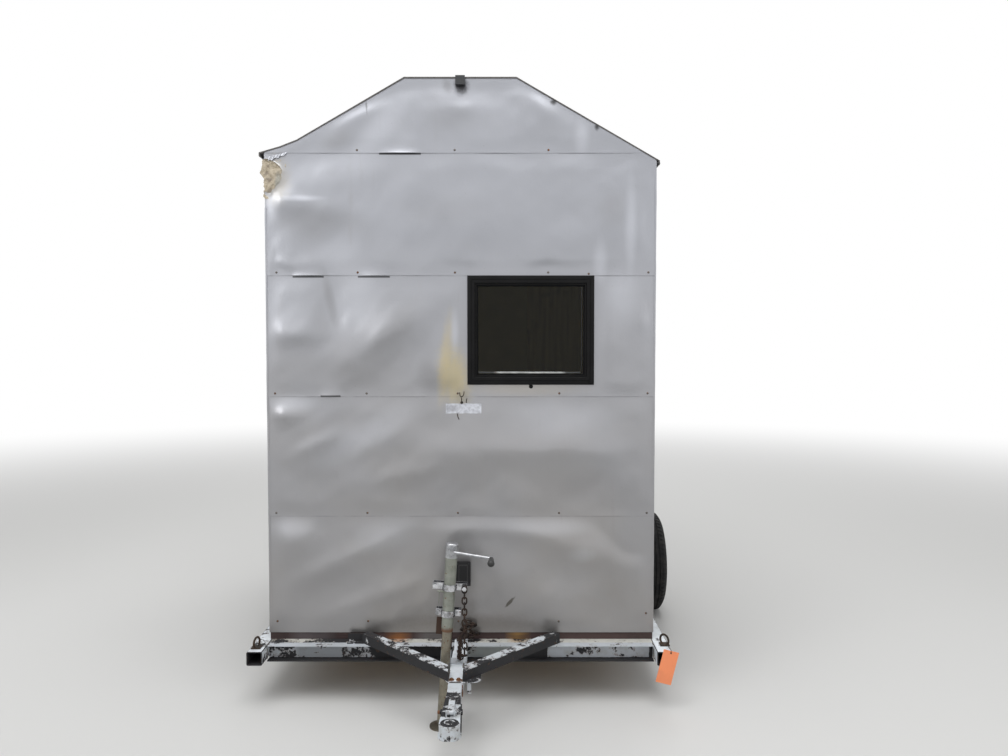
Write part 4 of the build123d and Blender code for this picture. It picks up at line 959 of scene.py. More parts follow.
def grid_lines(low, high, step, stops=()):
    """Even spacing from low to high that also lands on each stop."""
    marks = sorted({low, high, *[v for v in stops if low < v < high]})
    parts = [np.linspace(a, b, max(2, int(round((b - a) / step)) + 1))[:-1]
             for a, b in zip(marks, marks[1:])]
    return np.append(np.concatenate(parts), high)


# The grid near the tear, how far it reaches and the height above which sheets are torn
TEAR_STEP, TEAR_REACH, TEAR_ABOVE = 0.006, 0.13, 2.3
# How far the torn edge curls out, and over what run
TEAR_CURL, CURL_RUN = 0.0032, 0.007
# The torn edge in shares of the tear's width and height; the tear starts a drop below the eave
TEAR_WIDTH, TEAR_HEIGHT, TEAR_DROP = 0.086, 0.170, 0.030
TEAR_EDGE = np.array([
    (-0.4, -0.02), (0.2, 0.0), (0.42, 0.05), (0.62, 0.10), (0.84, 0.2), (1.0, 0.34), (0.9, 0.42),
    (0.95, 0.52), (0.78, 0.68), (0.66, 0.72), (0.5, 0.86), (0.42, 0.84), (0.3, 1.0), (0.12, 0.9),
    (-0.4, 0.83)])


def tear_outline():
    """Corners (s, z) of the missing piece at the front's top left."""
    eave = roof_corners(ROOF_TOP)[0, 1]
    return np.array([0, eave - TEAR_DROP]) + TEAR_EDGE * (TEAR_WIDTH, -TEAR_HEIGHT)


def beside_outline(points, outline):
    """For each point: whether it lies inside a closed outline, its nearest place on it, and how far.

    A point is inside when an odd number of sides cross the level line to its right.
    """
    inside = np.zeros(points.shape[:-1], bool)
    best = np.full(points.shape[:-1], np.inf)
    place = points.copy()
    x, y = points[..., 0], points[..., 1]
    for start, end in zip(outline, np.roll(outline, -1, 0)):
        run = end - start
        crossing = start[0] + (y - start[1]) * run[0] / (run[1] or 1e-12)
        inside ^= ((start[1] > y) != (end[1] > y)) & (x < crossing)
        t = np.clip(((points - start) @ run) / (run @ run), 0, 1)
        foot = start + t[..., None] * run
        away = np.linalg.norm(points - foot, axis=-1)
        closer = away < best
        best = np.where(closer, away, best)
        place = np.where(closer[..., None], foot, place)
    return inside, place, best


def course_sheet(wall, low, high, sizes, material):
    """One aluminium sheet of a wall, as a grid of (distance along, height) that bulges outwards."""
    top = min(high + sizes.lap, wall.top)
    cuts = openings(wall)
    stops_s = [v for c in cuts for v in c[:2]]
    stops_z = [v for c in cuts for v in c[2:]] + [low + 0.004, low + FINE_GRID]
    torn = wall.name == "front" and high > TEAR_ABOVE
    if torn:
        stops_s += np.arange(TEAR_STEP, TEAR_REACH, TEAR_STEP).tolist()
    lines_s = grid_lines(0.0, wall.length, sizes.cell, stops_s)
    lines_z = grid_lines(low, top, FINE_GRID if torn else sizes.cell, stops_z)
    s, z = np.meshgrid(lines_s, lines_z, indexing="ij")
    if wall.gable:
        left = wall.name == "front"
        near = HALF_WIDTH - slope_edge(z, left)
        far = HALF_WIDTH + slope_edge(z, not left)
        s = near + (far - near) * s / wall.length
    flat = np.stack([s, z], -1)
    drop = np.zeros(s.shape, bool)
    curl = np.zeros(s.shape)
    if torn:
        drop, nearest, away = beside_outline(flat, tear_outline())
        flat = np.where(drop[..., None], nearest, flat)
        curl = TEAR_CURL * np.exp(-np.where(drop, 0, away) / CURL_RUN)
    s, z = flat[..., 0], flat[..., 1]
    points = wall.points(s, z, sheet_height(wall, s, z, low, high, sizes) + curl)
    faces = grid_faces(len(lines_s), len(lines_z))
    middle = flat.reshape(-1, 2)[faces].mean(1)
    keep = ~drop.reshape(-1)[faces].all(1)
    for s0, s1, z0, z1 in cuts:
        keep &= ~((middle[:, 0] > s0) & (middle[:, 0] < s1) & (middle[:, 1] > z0) & (middle[:, 1] < z1))
    sheet = put_mesh(f"{wall.name}_course_{int(low * 1000)}", (points, faces[keep].tolist()), material,
                     crease=60)
    thicken(sheet, SHEET)
    return sheet


class HUT_OT_siding(bpy.types.Operator):
    """Lay the lapped, dented aluminium sheets on the four walls, nail them and trim the corners"""

    bl_idname = "hut.siding"
    bl_label = "Siding"

    def execute(self, context):
        sizes = context.scene.hut_sizes
        colors = context.scene.hut_colors
        seams = seam_heights(sizes)
        plain = siding_sheet("siding_sheet", colors, seams)
        # The front's sheets: stains as well as painted highlights, shade and shadow
        stains_and_painted_light = siding_sheet("front_sheet_painted_light", colors, seams, front=True)
        nail_metal = plated_steel("siding_nail", (0.16, 0.15, 0.14), 0.4, 0.5)
        for wall in WALLS.values():
            material = stains_and_painted_light if wall.name == "front" else plain
            sheets = [course_sheet(wall, low, high, sizes, material) for low, high in courses(wall, sizes)]
            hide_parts(f"{wall.name}_siding")
            self.nail(wall, seams, sizes, nail_metal)
        self.corners(siding_sheet("corner_strip", colors, metallic=0.85))
        return {"FINISHED"}

    def nail(self, wall, seams, sizes, metal):
        """Nail heads a little above each seam, turned to face out of the wall."""
        s = np.concatenate([nail_rows(wall, low) for low in seams])
        z = np.repeat([FOOT_NAIL] + [low + NAIL_RISE for low in seams[1:]], len(s) // len(seams))
        if wall.name == "front":
            z[len(LOWER_NAILS) - 1] = CORNER_NAIL
            s, z = np.append(s, WINDOW_NAIL[0]), np.append(z, WINDOW_NAIL[1])
        inside = z < wall.top
        if wall.gable:
            edge = np.minimum(slope_edge(z, True), slope_edge(z, False))
            inside &= np.abs(s - HALF_WIDTH) < edge - 0.02
        s, z = s[inside], z[inside]
        for s0, s1, z0, z1 in covered(wall):
            free = ~((s > s0 - 0.01) & (s < s1 + 0.01) & (z > z0 - 0.004) & (z < z1 + 0.004))
            s, z = s[free], z[free]
        profile = [(0.0012, 0.0026), (0.0036, 0.0021), (sizes.nail, 0.0008), (sizes.nail, -0.002)]
        nails = heads(profile, wall.out, 10, on_skin(wall, s, z, sizes))
        put_mesh(f"{wall.name}_nails", nails, metal)

    def corners(self, metal):
        """Thin folded strips over the four upright corners, a little wavy."""
        leg, inner, outer = 0.008, -0.0016, 0.0006
        below_tear = 2.345
        shapes = []
        for x_way, y_way, high in ((1, -1, SIDE_HIGH.z), (-1, -1, below_tear), (1, 1, SIDE_HIGH.z),
                                   (-1, 1, LEFT_HIGH.z)):
            x, y = x_way * HALF_WIDTH, WALL_FRONT if y_way < 0 else WALL_REAR
            outline = [(x + x_way * outer, y + y_way * outer), (x - x_way * leg, y + y_way * outer),
                       (x - x_way * leg, y + y_way * inner), (x + x_way * inner, y + y_way * inner),
                       (x + x_way * inner, y - y_way * leg), (x + x_way * outer, y - y_way * leg)]
            if x_way * y_way < 0:
                outline = outline[::-1]
            heights = np.arange(SHELL_BOTTOM + 0.002, high - 0.012, 0.03)
            sway = np.abs(rough_field(heights, 0 * heights, 5 + x_way + 2 * y_way, (0.5, 0.13), (5e-4, 3e-4)))
            shapes.append(upright(outline, heights, np.stack([x_way * sway, y_way * sway], -1)))
        put_mesh("corner_strips", join_shapes(shapes), metal)


class HUT_OT_torn_corner(bpy.types.Operator):
    """Show old foam and wood behind the torn sheet at the front's top left"""

    bl_idname = "hut.torn_corner"
    bl_label = "Torn corner"

    LOW, HIGH, RIGHT = 2.352, 2.535, 0.100
    # A ledge of foam past the corner: how far out, at what height, and how far up and down
    LEDGE, LEDGE_AT, LEDGE_RUN = 0.013, 2.487, 0.035

    def execute(self, context):
        self.foam()
        self.flap(siding_sheet("flap_sheet", context.scene.hut_colors))
        return {"FINISHED"}

    def foam(self):
        """A lumpy slab whose left edge sticks out past the corner, a front and a back sheet of points."""
        across, down = lattice(46, 76)
        z = self.HIGH - (self.HIGH - self.LOW) * down
        ragged = rough_field(0 * z, z, 3, (0.05, 0.021, 0.009), (0.004, 0.0025, 0.0015))
        left = -0.004 - self.LEDGE * np.exp(-((z - self.LEDGE_AT) / self.LEDGE_RUN) ** 2) + ragged
        s = left + (self.RIGHT - left) * across
        lumps = rough_field(s, z, 8, (0.045, 0.019, 0.008), (0.0011, 0.0008, 0.0004))
        pits = sum(np.exp(-((s - x - HALF_WIDTH) ** 2 + (z - pz) ** 2) / (0.8 * radius) ** 2)
                   for x, pz, radius in FOAM_PITS)
        h = np.maximum(0.0024 + lumps - 0.002 * pits, 0.0003)
        wall = WALLS["front"]
        front = wall.points(s, z, h)
        back = wall.points(s, z, -0.002 - 0.02 * smooth_step(-s, 0.0, 0.004))
        rows, columns = s.shape
        count = rows * columns
        quads = grid_faces(rows, columns)
        index = np.arange(count).reshape(rows, columns)
        rim = np.concatenate([index[:, 0], index[-1, 1:], index[-2::-1, -1], index[0, -2:0:-1]])
        following = np.roll(rim, -1)
        sides = np.stack([following, rim, rim + count, following + count], -1)
        faces = quads[:, ::-1].tolist() + (quads + count).tolist() + sides[:, ::-1].tolist()
        points = np.concatenate([front.reshape(-1, 3), back.reshape(-1, 3)])
        put_mesh("torn_foam", (points, faces), old_foam(), crease=70)

    def flap(self, metal):
        """A crumpled bluish flap of sheet left hanging under the roof's edge."""
        across, down = lattice(26, 8)
        s = 0.020 + 0.085 * across
        z = 2.547 + 0.020 * across - (0.022 - 0.012 * across) * down + 0.003 * np.sin(across * 21.0) * down
        h = 0.007 + 0.004 * down + 0.0015 * np.sin(across * 17.0 + 2 * down)
        points = WALLS["front"].points(s, z, h)
        faces = grid_faces(*s.shape)[:, ::-1].tolist()
        thicken(put_mesh("torn_flap", (points, faces), metal), SHEET)


class HUT_OT_window(bpy.types.Operator):
    """Build the window's mitred frame with its sash step, gasket, track and screws"""

    bl_idname = "hut.window"
    bl_label = "Window"

    BORDER = 0.045
    # The foot bolt's x, distance before the wall and height over the frame's edge; the corner bolt's insets
    FOOT_BOLT, CORNER_BOLT = (0.330, 0.001, -0.008), (0.014, 0.012)
    # Where along the pane's foot the track is scraped bright
    BARE_TRACK = (0.165, 0.485)

    def execute(self, context):
        low, high = (WINDOW_LOW.x, WINDOW_LOW.z), (WINDOW_HIGH.x, WINDOW_HIGH.z)
        proud = WALL_FRONT - WINDOW_LOW.y
        glass = WALL_FRONT - GLASS_LOW.y
        enamel = plain_finish("window_enamel", (0.009, 0.009, 0.0095), 0.45, grain=120.0, specular=0.12)
        outer = [(0.0, 0.0005), (0.0, proud - 0.003), (0.0009, proud - 0.0009), (0.003, proud),
                 (0.017, proud), (0.018, proud - 0.0016), (0.020, proud - 0.0016), (0.021, proud),
                 (0.034, proud), (0.036, proud - 0.002), (0.0365, 0.0005)]
        sash = [(0.0368, -0.014), (0.0368, proud - 0.006), (0.038, proud - 0.005),
                (0.0438, proud - 0.0055), (self.BORDER, proud - 0.0075), (self.BORDER, -0.014)]
        rings = join_shapes([mitred(low, high, WALL_FRONT, profile) for profile in (outer, sash)])
        loop = put_mesh("window_loop", rings, enamel, crease=30)
        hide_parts("window_frame")
        edge = self.BORDER
        bead = [(edge + 0.0003, glass + 0.0002), (edge + 0.0003, glass + 0.0036),
                (edge + 0.0022, glass + 0.0048), (edge + 0.0052, glass + 0.0030),
                (edge + 0.0058, glass + 0.0002)]
        rubber = plain_finish("window_gasket", (0.009, 0.009, 0.009), 0.8, grain=200.0, specular=0.15)
        gasket = mitred(low, high, WALL_FRONT, bead)
        put_mesh("window_gasket", gasket, rubber, crease=30)
        self.track(low, high, glass)
        self.bolts(low, high, proud, enamel)
        return {"FINISHED"}

    def track(self, low, high, glass):
        """A metal track along the pane's foot, scraped bright over its middle, and one up its right side."""
        dark = (0.035, 0.036, 0.036)
        left, right = self.BARE_TRACK
        metal = plated_steel("window_track", (0.44, 0.45, 0.44), 0.35, 0.60, tints=(
            (0.92, dark, dict(soft=0.012, X=(-1.0, left))), (0.92, dark, dict(soft=0.012, X=(right, 1.0)))))
        bar = np.array([(-0.004, 0.0), (0.004, 0.0), (0.004, 0.005), (0.0024, 0.006), (-0.0024, 0.006),
                        (-0.004, 0.005)])
        rng = np.random.default_rng(4)
        inset = self.BORDER + 0.007
        x = np.linspace(low[0] + inset, high[0] - inset - 0.012, 60)
        z = low[1] + inset + 0.005 + 0.0001 * rng.standard_normal(60).cumsum()
        y = np.full_like(x, WALL_FRONT - glass - 0.0003)
        put_mesh("window_track", carried(bar, np.stack([x, y, z], -1), (0, -1, 0)), metal)
        z = np.linspace(low[1] + inset + 0.012, high[1] - inset, 40)
        x = np.full_like(z, high[0] - inset - 0.006)
        path = np.stack([x, np.full_like(z, y[0]), z], -1)
        dull = plain_finish("window_side_track", (0.035, 0.036, 0.035), 0.5, specular=0.2)
        side = carried(bar * (0.4, 0.6), path, (0, -1, 0))
        put_mesh("window_side_track", side, dull)

    def bolts(self, low, high, proud, metal):
        """One bolt under the frame's middle and one on its lower right corner."""
        x, before, rise = self.FOOT_BOLT
        inset, up = self.CORNER_BOLT
        size = dict(axis=(0, -1, 0), radius=0.0075, height=0.006, washer=0.010)
        pair = [hex_head(centre, **size) for centre in (
            (x, WALL_FRONT - before, low[1] + rise), (high[0] - inset, WALL_FRONT - proud, low[1] + up))]
        put_mesh("window_bolts", join_shapes(pair), metal)


class HUT_OT_wall_bits(bpy.types.Operator):
    """Add the bare label, bent wires, tar drop and box lid screws"""

    bl_idname = "hut.wall_bits"
    bl_label = "Wall bits"

    TAR_DROP = (0.9235, WALL_FRONT - 0.002, 2.516)
    # Distance along the wall and height of the label's middle and of the nail, and the label's half sizes
    LABEL_AT, WIRE_NAIL = (0.927, 1.3705), (HALF_WIDTH + 0.0035, 1.3985)
    LABEL_HALF = (0.084, 0.0235)
    # Places (x, z) along each bit of wire
    WIRES = (
        [(-0.006, 1.447), (-0.004, 1.431), (0.005, 1.427), (0.012, 1.435), (0.015, 1.451)],
        [(0.001, 1.424), (0.003, 1.412), (0.002, 1.400)],
        [(0.028, 1.418), (0.025, 1.405), (0.026, 1.396)],
        [(-0.017, 1.347), (-0.015, 1.333), (-0.009, 1.318)],
    )

    def execute(self, context):
        sizes = context.scene.hut_sizes
        wall = WALLS["front"]
        self.label(wall, sizes)
        self.wires(wall, sizes)
        self.box_lid()
        tar = plain_finish("roofing_tar", (0.012, 0.012, 0.013), 0.35)
        profile = [(0.0012, 0.0082), (0.0045, 0.0068), (0.0070, 0.0035), (0.0078, 0.0), (0.0068, -0.0045),
                   (0.0038, -0.0085), (0.0012, -0.0098)]
        drop = turned(profile, self.TAR_DROP, (0, 0, 1), 16)
        put_mesh("tar_drop", drop, tar, crease=80)
        return {"FINISHED"}

    def label(self, wall, sizes):
        """A blank sticker, its corners lifted a little, laid on the sheet."""
        across, up = lattice(40, 14, -1)
        s = self.LABEL_AT[0] + self.LABEL_HALF[0] * across
        z = self.LABEL_AT[1] + self.LABEL_HALF[1] * up + 0.0008 * np.sin(across * 9)
        lift = 0.0010 + 0.028 * np.clip(np.abs(across) - 0.88, 0, 1) * np.clip(np.abs(up) - 0.5, 0, 1)
        points = on_skin(wall, s, z, sizes, lift + 0.0003 * np.sin(across * 14 + up * 3))
        finish = Finish("label_paper", roughness=0.55)
        blotches = finish.noise(70.0, 5.0, 0.65)
        wash = finish.blend(finish.ramp(blotches, 0.35, 0.75), (0.68, 0.70, 0.76), (0.42, 0.43, 0.47))
        worn = finish.spot(-0.045, 1.372, 0.03, 0.014, 0, 0.6, 0.9)
        color = finish.tint(wash, [(worn, 0.5, (0.27, 0.27, 0.30))])
        paper = finish.dressed(color, bumps=[(blotches, 0.0005)])
        shape = points, grid_faces(*s.shape).tolist()
        thicken(put_mesh("blank_label", shape, paper), 0.0004)

    def wires(self, wall, sizes):
        """Bits of bent wire round a nail by the label, each a smooth run over the sheet."""
        shapes = []
        for run in self.WIRES:
            line = flowing(run, 8)
            path = on_skin(wall, line[:, 0] + HALF_WIDTH, line[:, 1], sizes, 0.0016)
            shapes.append(carried(ring_profile(0.0019, 8), path, (0, -1, 0)))
        s, z = np.array(self.WIRE_NAIL).reshape(2, 1)
        profile = [(0.002, 0.005), (0.0055, 0.0042), (0.0068, 0.002), (0.0068, -0.002)]
        shapes.append(heads(profile, wall.out, 14, on_skin(wall, s, z, sizes)))
        metal = rusty_steel("old_wire", (0.02, 0.018, 0.016), (0.07, 0.05, 0.035), 0.5)
        put_mesh("label_wires", join_shapes(shapes), metal)

    def box_lid(self):
        """Four lid screws and a raised seam on the black box."""
        face = BOX_LOW.y
        inset = 0.008
        places = [(x, face, z) for x in (BOX_LOW.x + inset, BOX_HIGH.x - inset)
                  for z in (BOX_LOW.z + inset, BOX_HIGH.z - inset)]
        profile = [(0.0012, 0.0004), (0.0014, 0.0014), (0.0028, 0.0012), (0.0034, 0.0004),
                   (0.0034, -0.0005)]
        lip = mitred((BOX_LOW.x, BOX_LOW.z), (BOX_HIGH.x, BOX_HIGH.z), face,
                     [(0.0135, -0.0004), (0.0135, 0.0009), (0.0143, 0.0014), (0.0157, 0.0014),
                      (0.0165, 0.0009), (0.0165, -0.0004)])
        plastic = plain_finish("box_trim", (0.035, 0.035, 0.037), 0.5)
        trim = join_shapes([heads(profile, (0, -1, 0), 12, places), lip])
        put_mesh("box_lid_trim", trim, plastic)


class HUT_OT_roof(bpy.types.Operator):
    """Lay lap strips across the roofing and nail its edges"""

    bl_idname = "hut.roof"
    bl_label = "Roof laps"

    LAPS = (WALL_FRONT + 0.86, WALL_FRONT + 1.72)

    def execute(self, context):
        grit = roofing(context.scene.hut_colors.roof)
        dress(grit, "roof_covering")
        line = self.outline()
        strip = [(-0.030, -0.002), (0.030, -0.002), (0.030, 0.0015), (-0.030, 0.0015)]
        shapes = []
        for seed, y in enumerate(self.LAPS):
            wobble = rough_field(line[:, 0], 0 * line[:, 0], seed, (0.4, 0.11), (0.002, 0.001))
            shapes.append(carried(strip, np.stack([line[:, 0], y + wobble, line[:, 1]], -1), (0, 0, 1)))
        put_mesh("roof_laps", join_shapes(shapes), grit)
        profile = [(0.001, 0.0014), (0.0035, 0.0011), (0.0048, 0.0003), (0.0048, -0.001)]
        edge = 0.022
        rows = (COVER_LOW.y + edge, COVER_HIGH.y - edge, *(lap - edge for lap in self.LAPS))
        places = [(x, y, z) for y in rows for x, z in line[4:-4:5]]
        metal = plated_steel("roof_nail", (0.30, 0.30, 0.30), 0.45, 0.5)
        put_mesh("roof_nails", heads(profile, (0, 0, 1), 8, places), metal)
        return {"FINISHED"}

    def outline(self):
        """Points (x, z) along the top of the roof covering, from one eave to the other."""
        corners = roof_corners(COVER_HIGH.z)
        x = np.unique(np.concatenate([np.linspace(corners[0, 0], corners[-1, 0], 70), corners[:, 0]]))
        return np.stack([x, np.interp(x, corners[:, 0], corners[:, 1])], -1)


class HUT_OT_rear_door(bpy.types.Operator):
    """Screw the hinges to the rear door"""

    bl_idname = "hut.rear_door"
    bl_label = "Rear door"

    LEAF = 0.005
    # Share of a hinge's length, and height from its middle line
    SCREWS = ((0.10, 0.008), (0.24, -0.008), (0.38, 0.008), (0.52, -0.008))

    def execute(self, context):
        profile = [(0.0012, 0.0006), (0.0015, 0.0019), (0.0034, 0.0016), (0.0044, 0.0004),
                   (0.0044, -0.0006)]
        places = []
        for name in ("lower_hinge", "upper_hinge"):
            low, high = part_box(name)
            middle = (low.z + high.z) / 2
            places += [(low.x + (high.x - low.x) * share, DOOR_HIGH.y + self.LEAF, middle + rise)
                       for share, rise in self.SCREWS]
        metal = plated_steel("door_screw", (0.42, 0.42, 0.42), 0.35, 0.62)
        put_mesh("hinge_screws", heads(profile, (0, 1, 0), 12, places), metal)
        return {"FINISHED"}


class HUT_OT_trailer(bpy.types.Operator):
    """Weld and bolt the trailer frame"""

    bl_idname = "hut.trailer"
    bl_label = "Trailer fixings"

    BEAD = 0.0034
    BOLTS_X, BOLTS_BACK = (-0.017, 0.013), 0.020
    # Beads on the tongue's sides, at the beam, a brace's flange and a brace's plate: where each starts
    # and ends before the wall, and its height over the frame
    TONGUE_BEADS = ((0.150, 0.090, 0.0005), (0.456, 0.408, 0.0445), (0.4905, 0.372, 0.0))

    def execute(self, context):
        beads = [weld_bead(*run, self.BEAD, seed) for seed, run in enumerate(self.runs())]
        metal = plain_finish("weld_metal", (0.16, 0.15, 0.14), 0.6, metallic=0.4, spread=0.6)
        put_mesh("frame_welds", join_shapes(beads), metal, crease=80)
        rust = rusty_steel("bolt_rust", (0.05, 0.03, 0.02), (0.22, 0.10, 0.045), 0.3)
        bolts = [hex_head((x, TONGUE_LOW.y + self.BOLTS_BACK, FRAME_TOP), (0, 0, 1), 0.0085, 0.006, 0.0115)
                 for x in self.BOLTS_X]
        put_mesh("tongue_bolts", join_shapes(bolts), rust)
        return {"FINISHED"}

    def runs(self):
        """Start, end and upward way of each bead: beam to rails, along the tongue and across its end."""
        front, top = BEAM_LOW.y, FRAME_TOP
        half = TONGUE_HIGH.x
        runs = []
        for side in (-1, 1):
            x = side * (RAIL_LOW.x - 0.0008)
            z = top + 0.0006
            runs.append(((x, front + 0.004, z), (x, WALL_FRONT - 0.050, z), (0, 0, 1)))
            y = front - 0.0004
            runs.append(((x, y, top - 0.012), (x, y, top - 0.062), (0, -1, 0)))
            x = side * half
            for start, end, rise in self.TONGUE_BEADS:
                z = top + rise
                runs.append(((x, WALL_FRONT - start, z), (x, WALL_FRONT - end, z), (0, 0, 1)))
        y, z = TONGUE_LOW.y - 0.0002, top - 0.0012
        runs.append(((-half + 0.006, y, z), (half - 0.006, y, z), (0, -1, 0)))
        return runs


class HUT_OT_chain(bpy.types.Operator):
    """Make the safety chain of round wire links from the jack's clamp to the heap by the wall"""

    bl_idname = "hut.chain"
    bl_label = "Safety chain"

    # A link's length and breadth, the distance between links, and their height over the tongue
    LENGTH, WIDTH, PITCH, LIE = 0.038, 0.026, 0.0246, 0.014
    # The clamp's bolt, the run's ends along the tongue, and the heap's foot and layers
    BOLT_X, BOLT_Z = 0.0313, 0.6092
    FRONT, BACK, HEAP = WALL_FRONT - 0.342, WALL_FRONT - 0.2445, WALL_FRONT - 0.087
    LAYERS, LAYER_RISE = 5, 0.021

    def execute(self, context):
        wire = context.scene.hut_sizes.wire
        corners = self.corners()
        legs = np.linalg.norm(np.diff(corners, axis=0), axis=1)
        ends = np.cumsum(legs)
        shapes = []
        for index, way in enumerate(np.arange(0.0, ends[-1], self.PITCH)):
            leg = min(int(np.searchsorted(ends, way)), len(legs) - 1)
            along = (corners[leg + 1] - corners[leg]) / legs[leg]
            centre = corners[leg] + along * (way - ends[leg] + legs[leg])
            roll = math.radians((0 if leg == 0 else 45) + 90 * (index % 2))
            shapes.append(self.link(centre, -along, roll, wire))
        rust = rusty_steel("chain_rust", (0.014, 0.011, 0.010), (0.050, 0.030, 0.021), 0.4)
        chain = put_mesh("round_chain", join_shapes(shapes), rust, crease=80)
        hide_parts("safety_chain")
        return {"FINISHED"}

    def corners(self):
        """Corners of the run: down from the clamp's bolt, back along the tongue, and up the heap."""
        lying = FRAME_TOP + self.LIE
        corners = [
            (self.BOLT_X, self.FRONT, self.BOLT_Z),
            (self.BOLT_X, self.FRONT, lying + self.LENGTH),
            (self.BOLT_X - self.WIDTH, self.FRONT + self.LENGTH, lying + 0.012),
            (self.BOLT_X - self.WIDTH, self.BACK, lying + 0.005),
            (0.0, self.BACK + self.LENGTH, lying),
            (0.0, self.HEAP, lying),
        ]
        for layer in range(self.LAYERS):
            share = layer / (self.LAYERS - 1)
            x = 0.084 - 0.018 * share if layer % 2 else -0.013 + 0.027 * share
            corners.append((x, WALL_FRONT - self.WIDTH, lying + self.LAYER_RISE * layer))
        return np.array(corners)

    def link(self, centre, along, roll, wire):
        """One link: a circle carried round two half turns joined by straight sides."""
        bend = self.WIDTH / 2 - wire / 2
        straight = self.LENGTH / 2 - self.WIDTH / 2
        turn = np.linspace(0, np.pi, 7)
        upper = np.stack([bend * np.cos(turn), straight + bend * np.sin(turn)], -1)
        loop = np.vstack([upper, -upper])
        helper = np.array([0.0, 1.0, 0.0]) if abs(along[1]) < 0.9 else np.array([1.0, 0.0, 0.0])
        first = np.cross(helper, along)
        first /= np.linalg.norm(first)
        second = np.cross(along, first)
        across = math.cos(roll) * first + math.sin(roll) * second
        path = centre + loop[:, :1] * across + loop[:, 1:] * along
        return carried(ring_profile(wire / 2, 9), path, np.cross(across, along), closed=True)


class HUT_OT_tyres(bpy.types.Operator):
    """Cut the tyres: ribs on the side walls, grooves round the tread and cuts across its shoulders"""

    bl_idname = "hut.tyres"
    bl_label = "Tyres"

    # Radius and half breadth of the outside, from the bead to the edge of the tread, in metres
    SIDE = np.array([
        (0.1655, 0.0612), (0.1784, 0.0616), (0.1790, 0.0655), (0.1835, 0.0700), (0.190, 0.0745),
        (0.198, 0.0790), (0.199, 0.0805), (0.202, 0.0805), (0.203, 0.0800), (0.215, 0.0850), (0.228, 0.0882),
        (0.236, 0.0880), (0.2365, 0.0888), (0.2385, 0.0888), (0.239, 0.0879), (0.250, 0.0872),
        (0.262, 0.0850), (0.263, 0.0857), (0.265, 0.0855), (0.266, 0.0840), (0.276, 0.0800), (0.286, 0.0730),
        (0.2935, 0.0670), (0.2975, 0.0630)])
    # The grooves' distances from the middle, half breadth and depth, and the tread's own form
    GROOVES = (0.012, 0.036)
    GROOVE_HALF, GROOVE_DEPTH = 0.0035, 0.006
    TREAD_HALF, TREAD_RADIUS, CROWN = 0.056, 0.305, 0.0045
    # Shares of a block's turn at its corners, which of them are lowered by the cuts, and how far cuts lean
    BLOCKS, SHARES, LOWERED, LEAN = 64, (0.0, 0.68, 0.70, 0.98), (0.0, 0.0, 1.0, 1.0), 0.35

    def execute(self, context):
        rubber = tyre_rubber()
        for side in ("right", "left"):
            low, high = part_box(f"{side}_tyre")
            centre = (np.array(low) + np.array(high)) / 2
            shape = self.tyre(centre, context.scene.hut_sizes.tread)
            tyre = put_mesh(f"{side}_tread", shape, rubber, f"{side}_wheel", crease=35)
            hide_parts(f"{side}_tyre")
        return {"FINISHED"}

    def section(self):
        """The cross-section as (radius, x) from bead to bead, and how far each point joins in the cuts."""
        lip = self.GROOVE_HALF + 0.0004
        sides = (lip, self.GROOVE_HALF, -self.GROOVE_HALF, -lip)
        half = [groove + side for groove in self.GROOVES[::-1] for side in sides]
        half = np.array([self.TREAD_HALF, *half])
        in_groove = np.any(np.abs(half[:, None] - self.GROOVES) < self.GROOVE_HALF + 1e-6, axis=1)
        radius = (self.TREAD_RADIUS - self.CROWN * (half / self.TREAD_HALF) ** 2
                  - np.where(in_groove, self.GROOVE_DEPTH, 0))
        tread = np.stack([radius, half], -1)
        side_cut = np.zeros(len(self.SIDE))
        side_cut[-3:] = (0.5, 1.0, 1.0)
        tread_cut = np.where(in_groove, 0.0, 0.25)
        tread_cut[0] = 1.0
        outer = np.vstack([self.SIDE, tread])
        cut = np.concatenate([side_cut, tread_cut])
        return np.vstack([outer, outer[::-1] * (1, -1)]), np.concatenate([cut, cut[::-1]])

    def tyre(self, centre, depth):
        """The section turned about X: each share of a turn is raised, then lower by the depth of the cuts.

        The cuts lean, because the turn of each point grows with its distance from the middle.
        """
        profile, cut = self.section()
        lowered = np.tile(self.LOWERED, self.BLOCKS)
        turn = ((np.arange(self.BLOCKS)[:, None] + self.SHARES) * 2 * np.pi / self.BLOCKS).ravel()
        lean = self.LEAN * 2 * np.pi / self.BLOCKS * profile[:, 1] / self.TREAD_HALF
        turn = turn[:, None] + lean[None]
        radius = profile[None, :, 0] - depth * lowered[:, None] * cut[None]
        x = centre[0] + np.broadcast_to(profile[None, :, 1], radius.shape)
        points = np.stack([x, centre[1] + radius * np.cos(turn), centre[2] + radius * np.sin(turn)], -1)
        faces = grid_faces(len(turn), len(profile), wrap_rows=True, wrap_columns=True)[:, ::-1].tolist()
        return points.reshape(-1, 3), faces


# Beyond the hut on any side, for finishes with one limit
FAR = 9.0


def dress(material, *nodes):
    """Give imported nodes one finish."""
    for name in nodes:
        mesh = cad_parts[name].data
        mesh.materials.clear()
        mesh.materials.append(material)


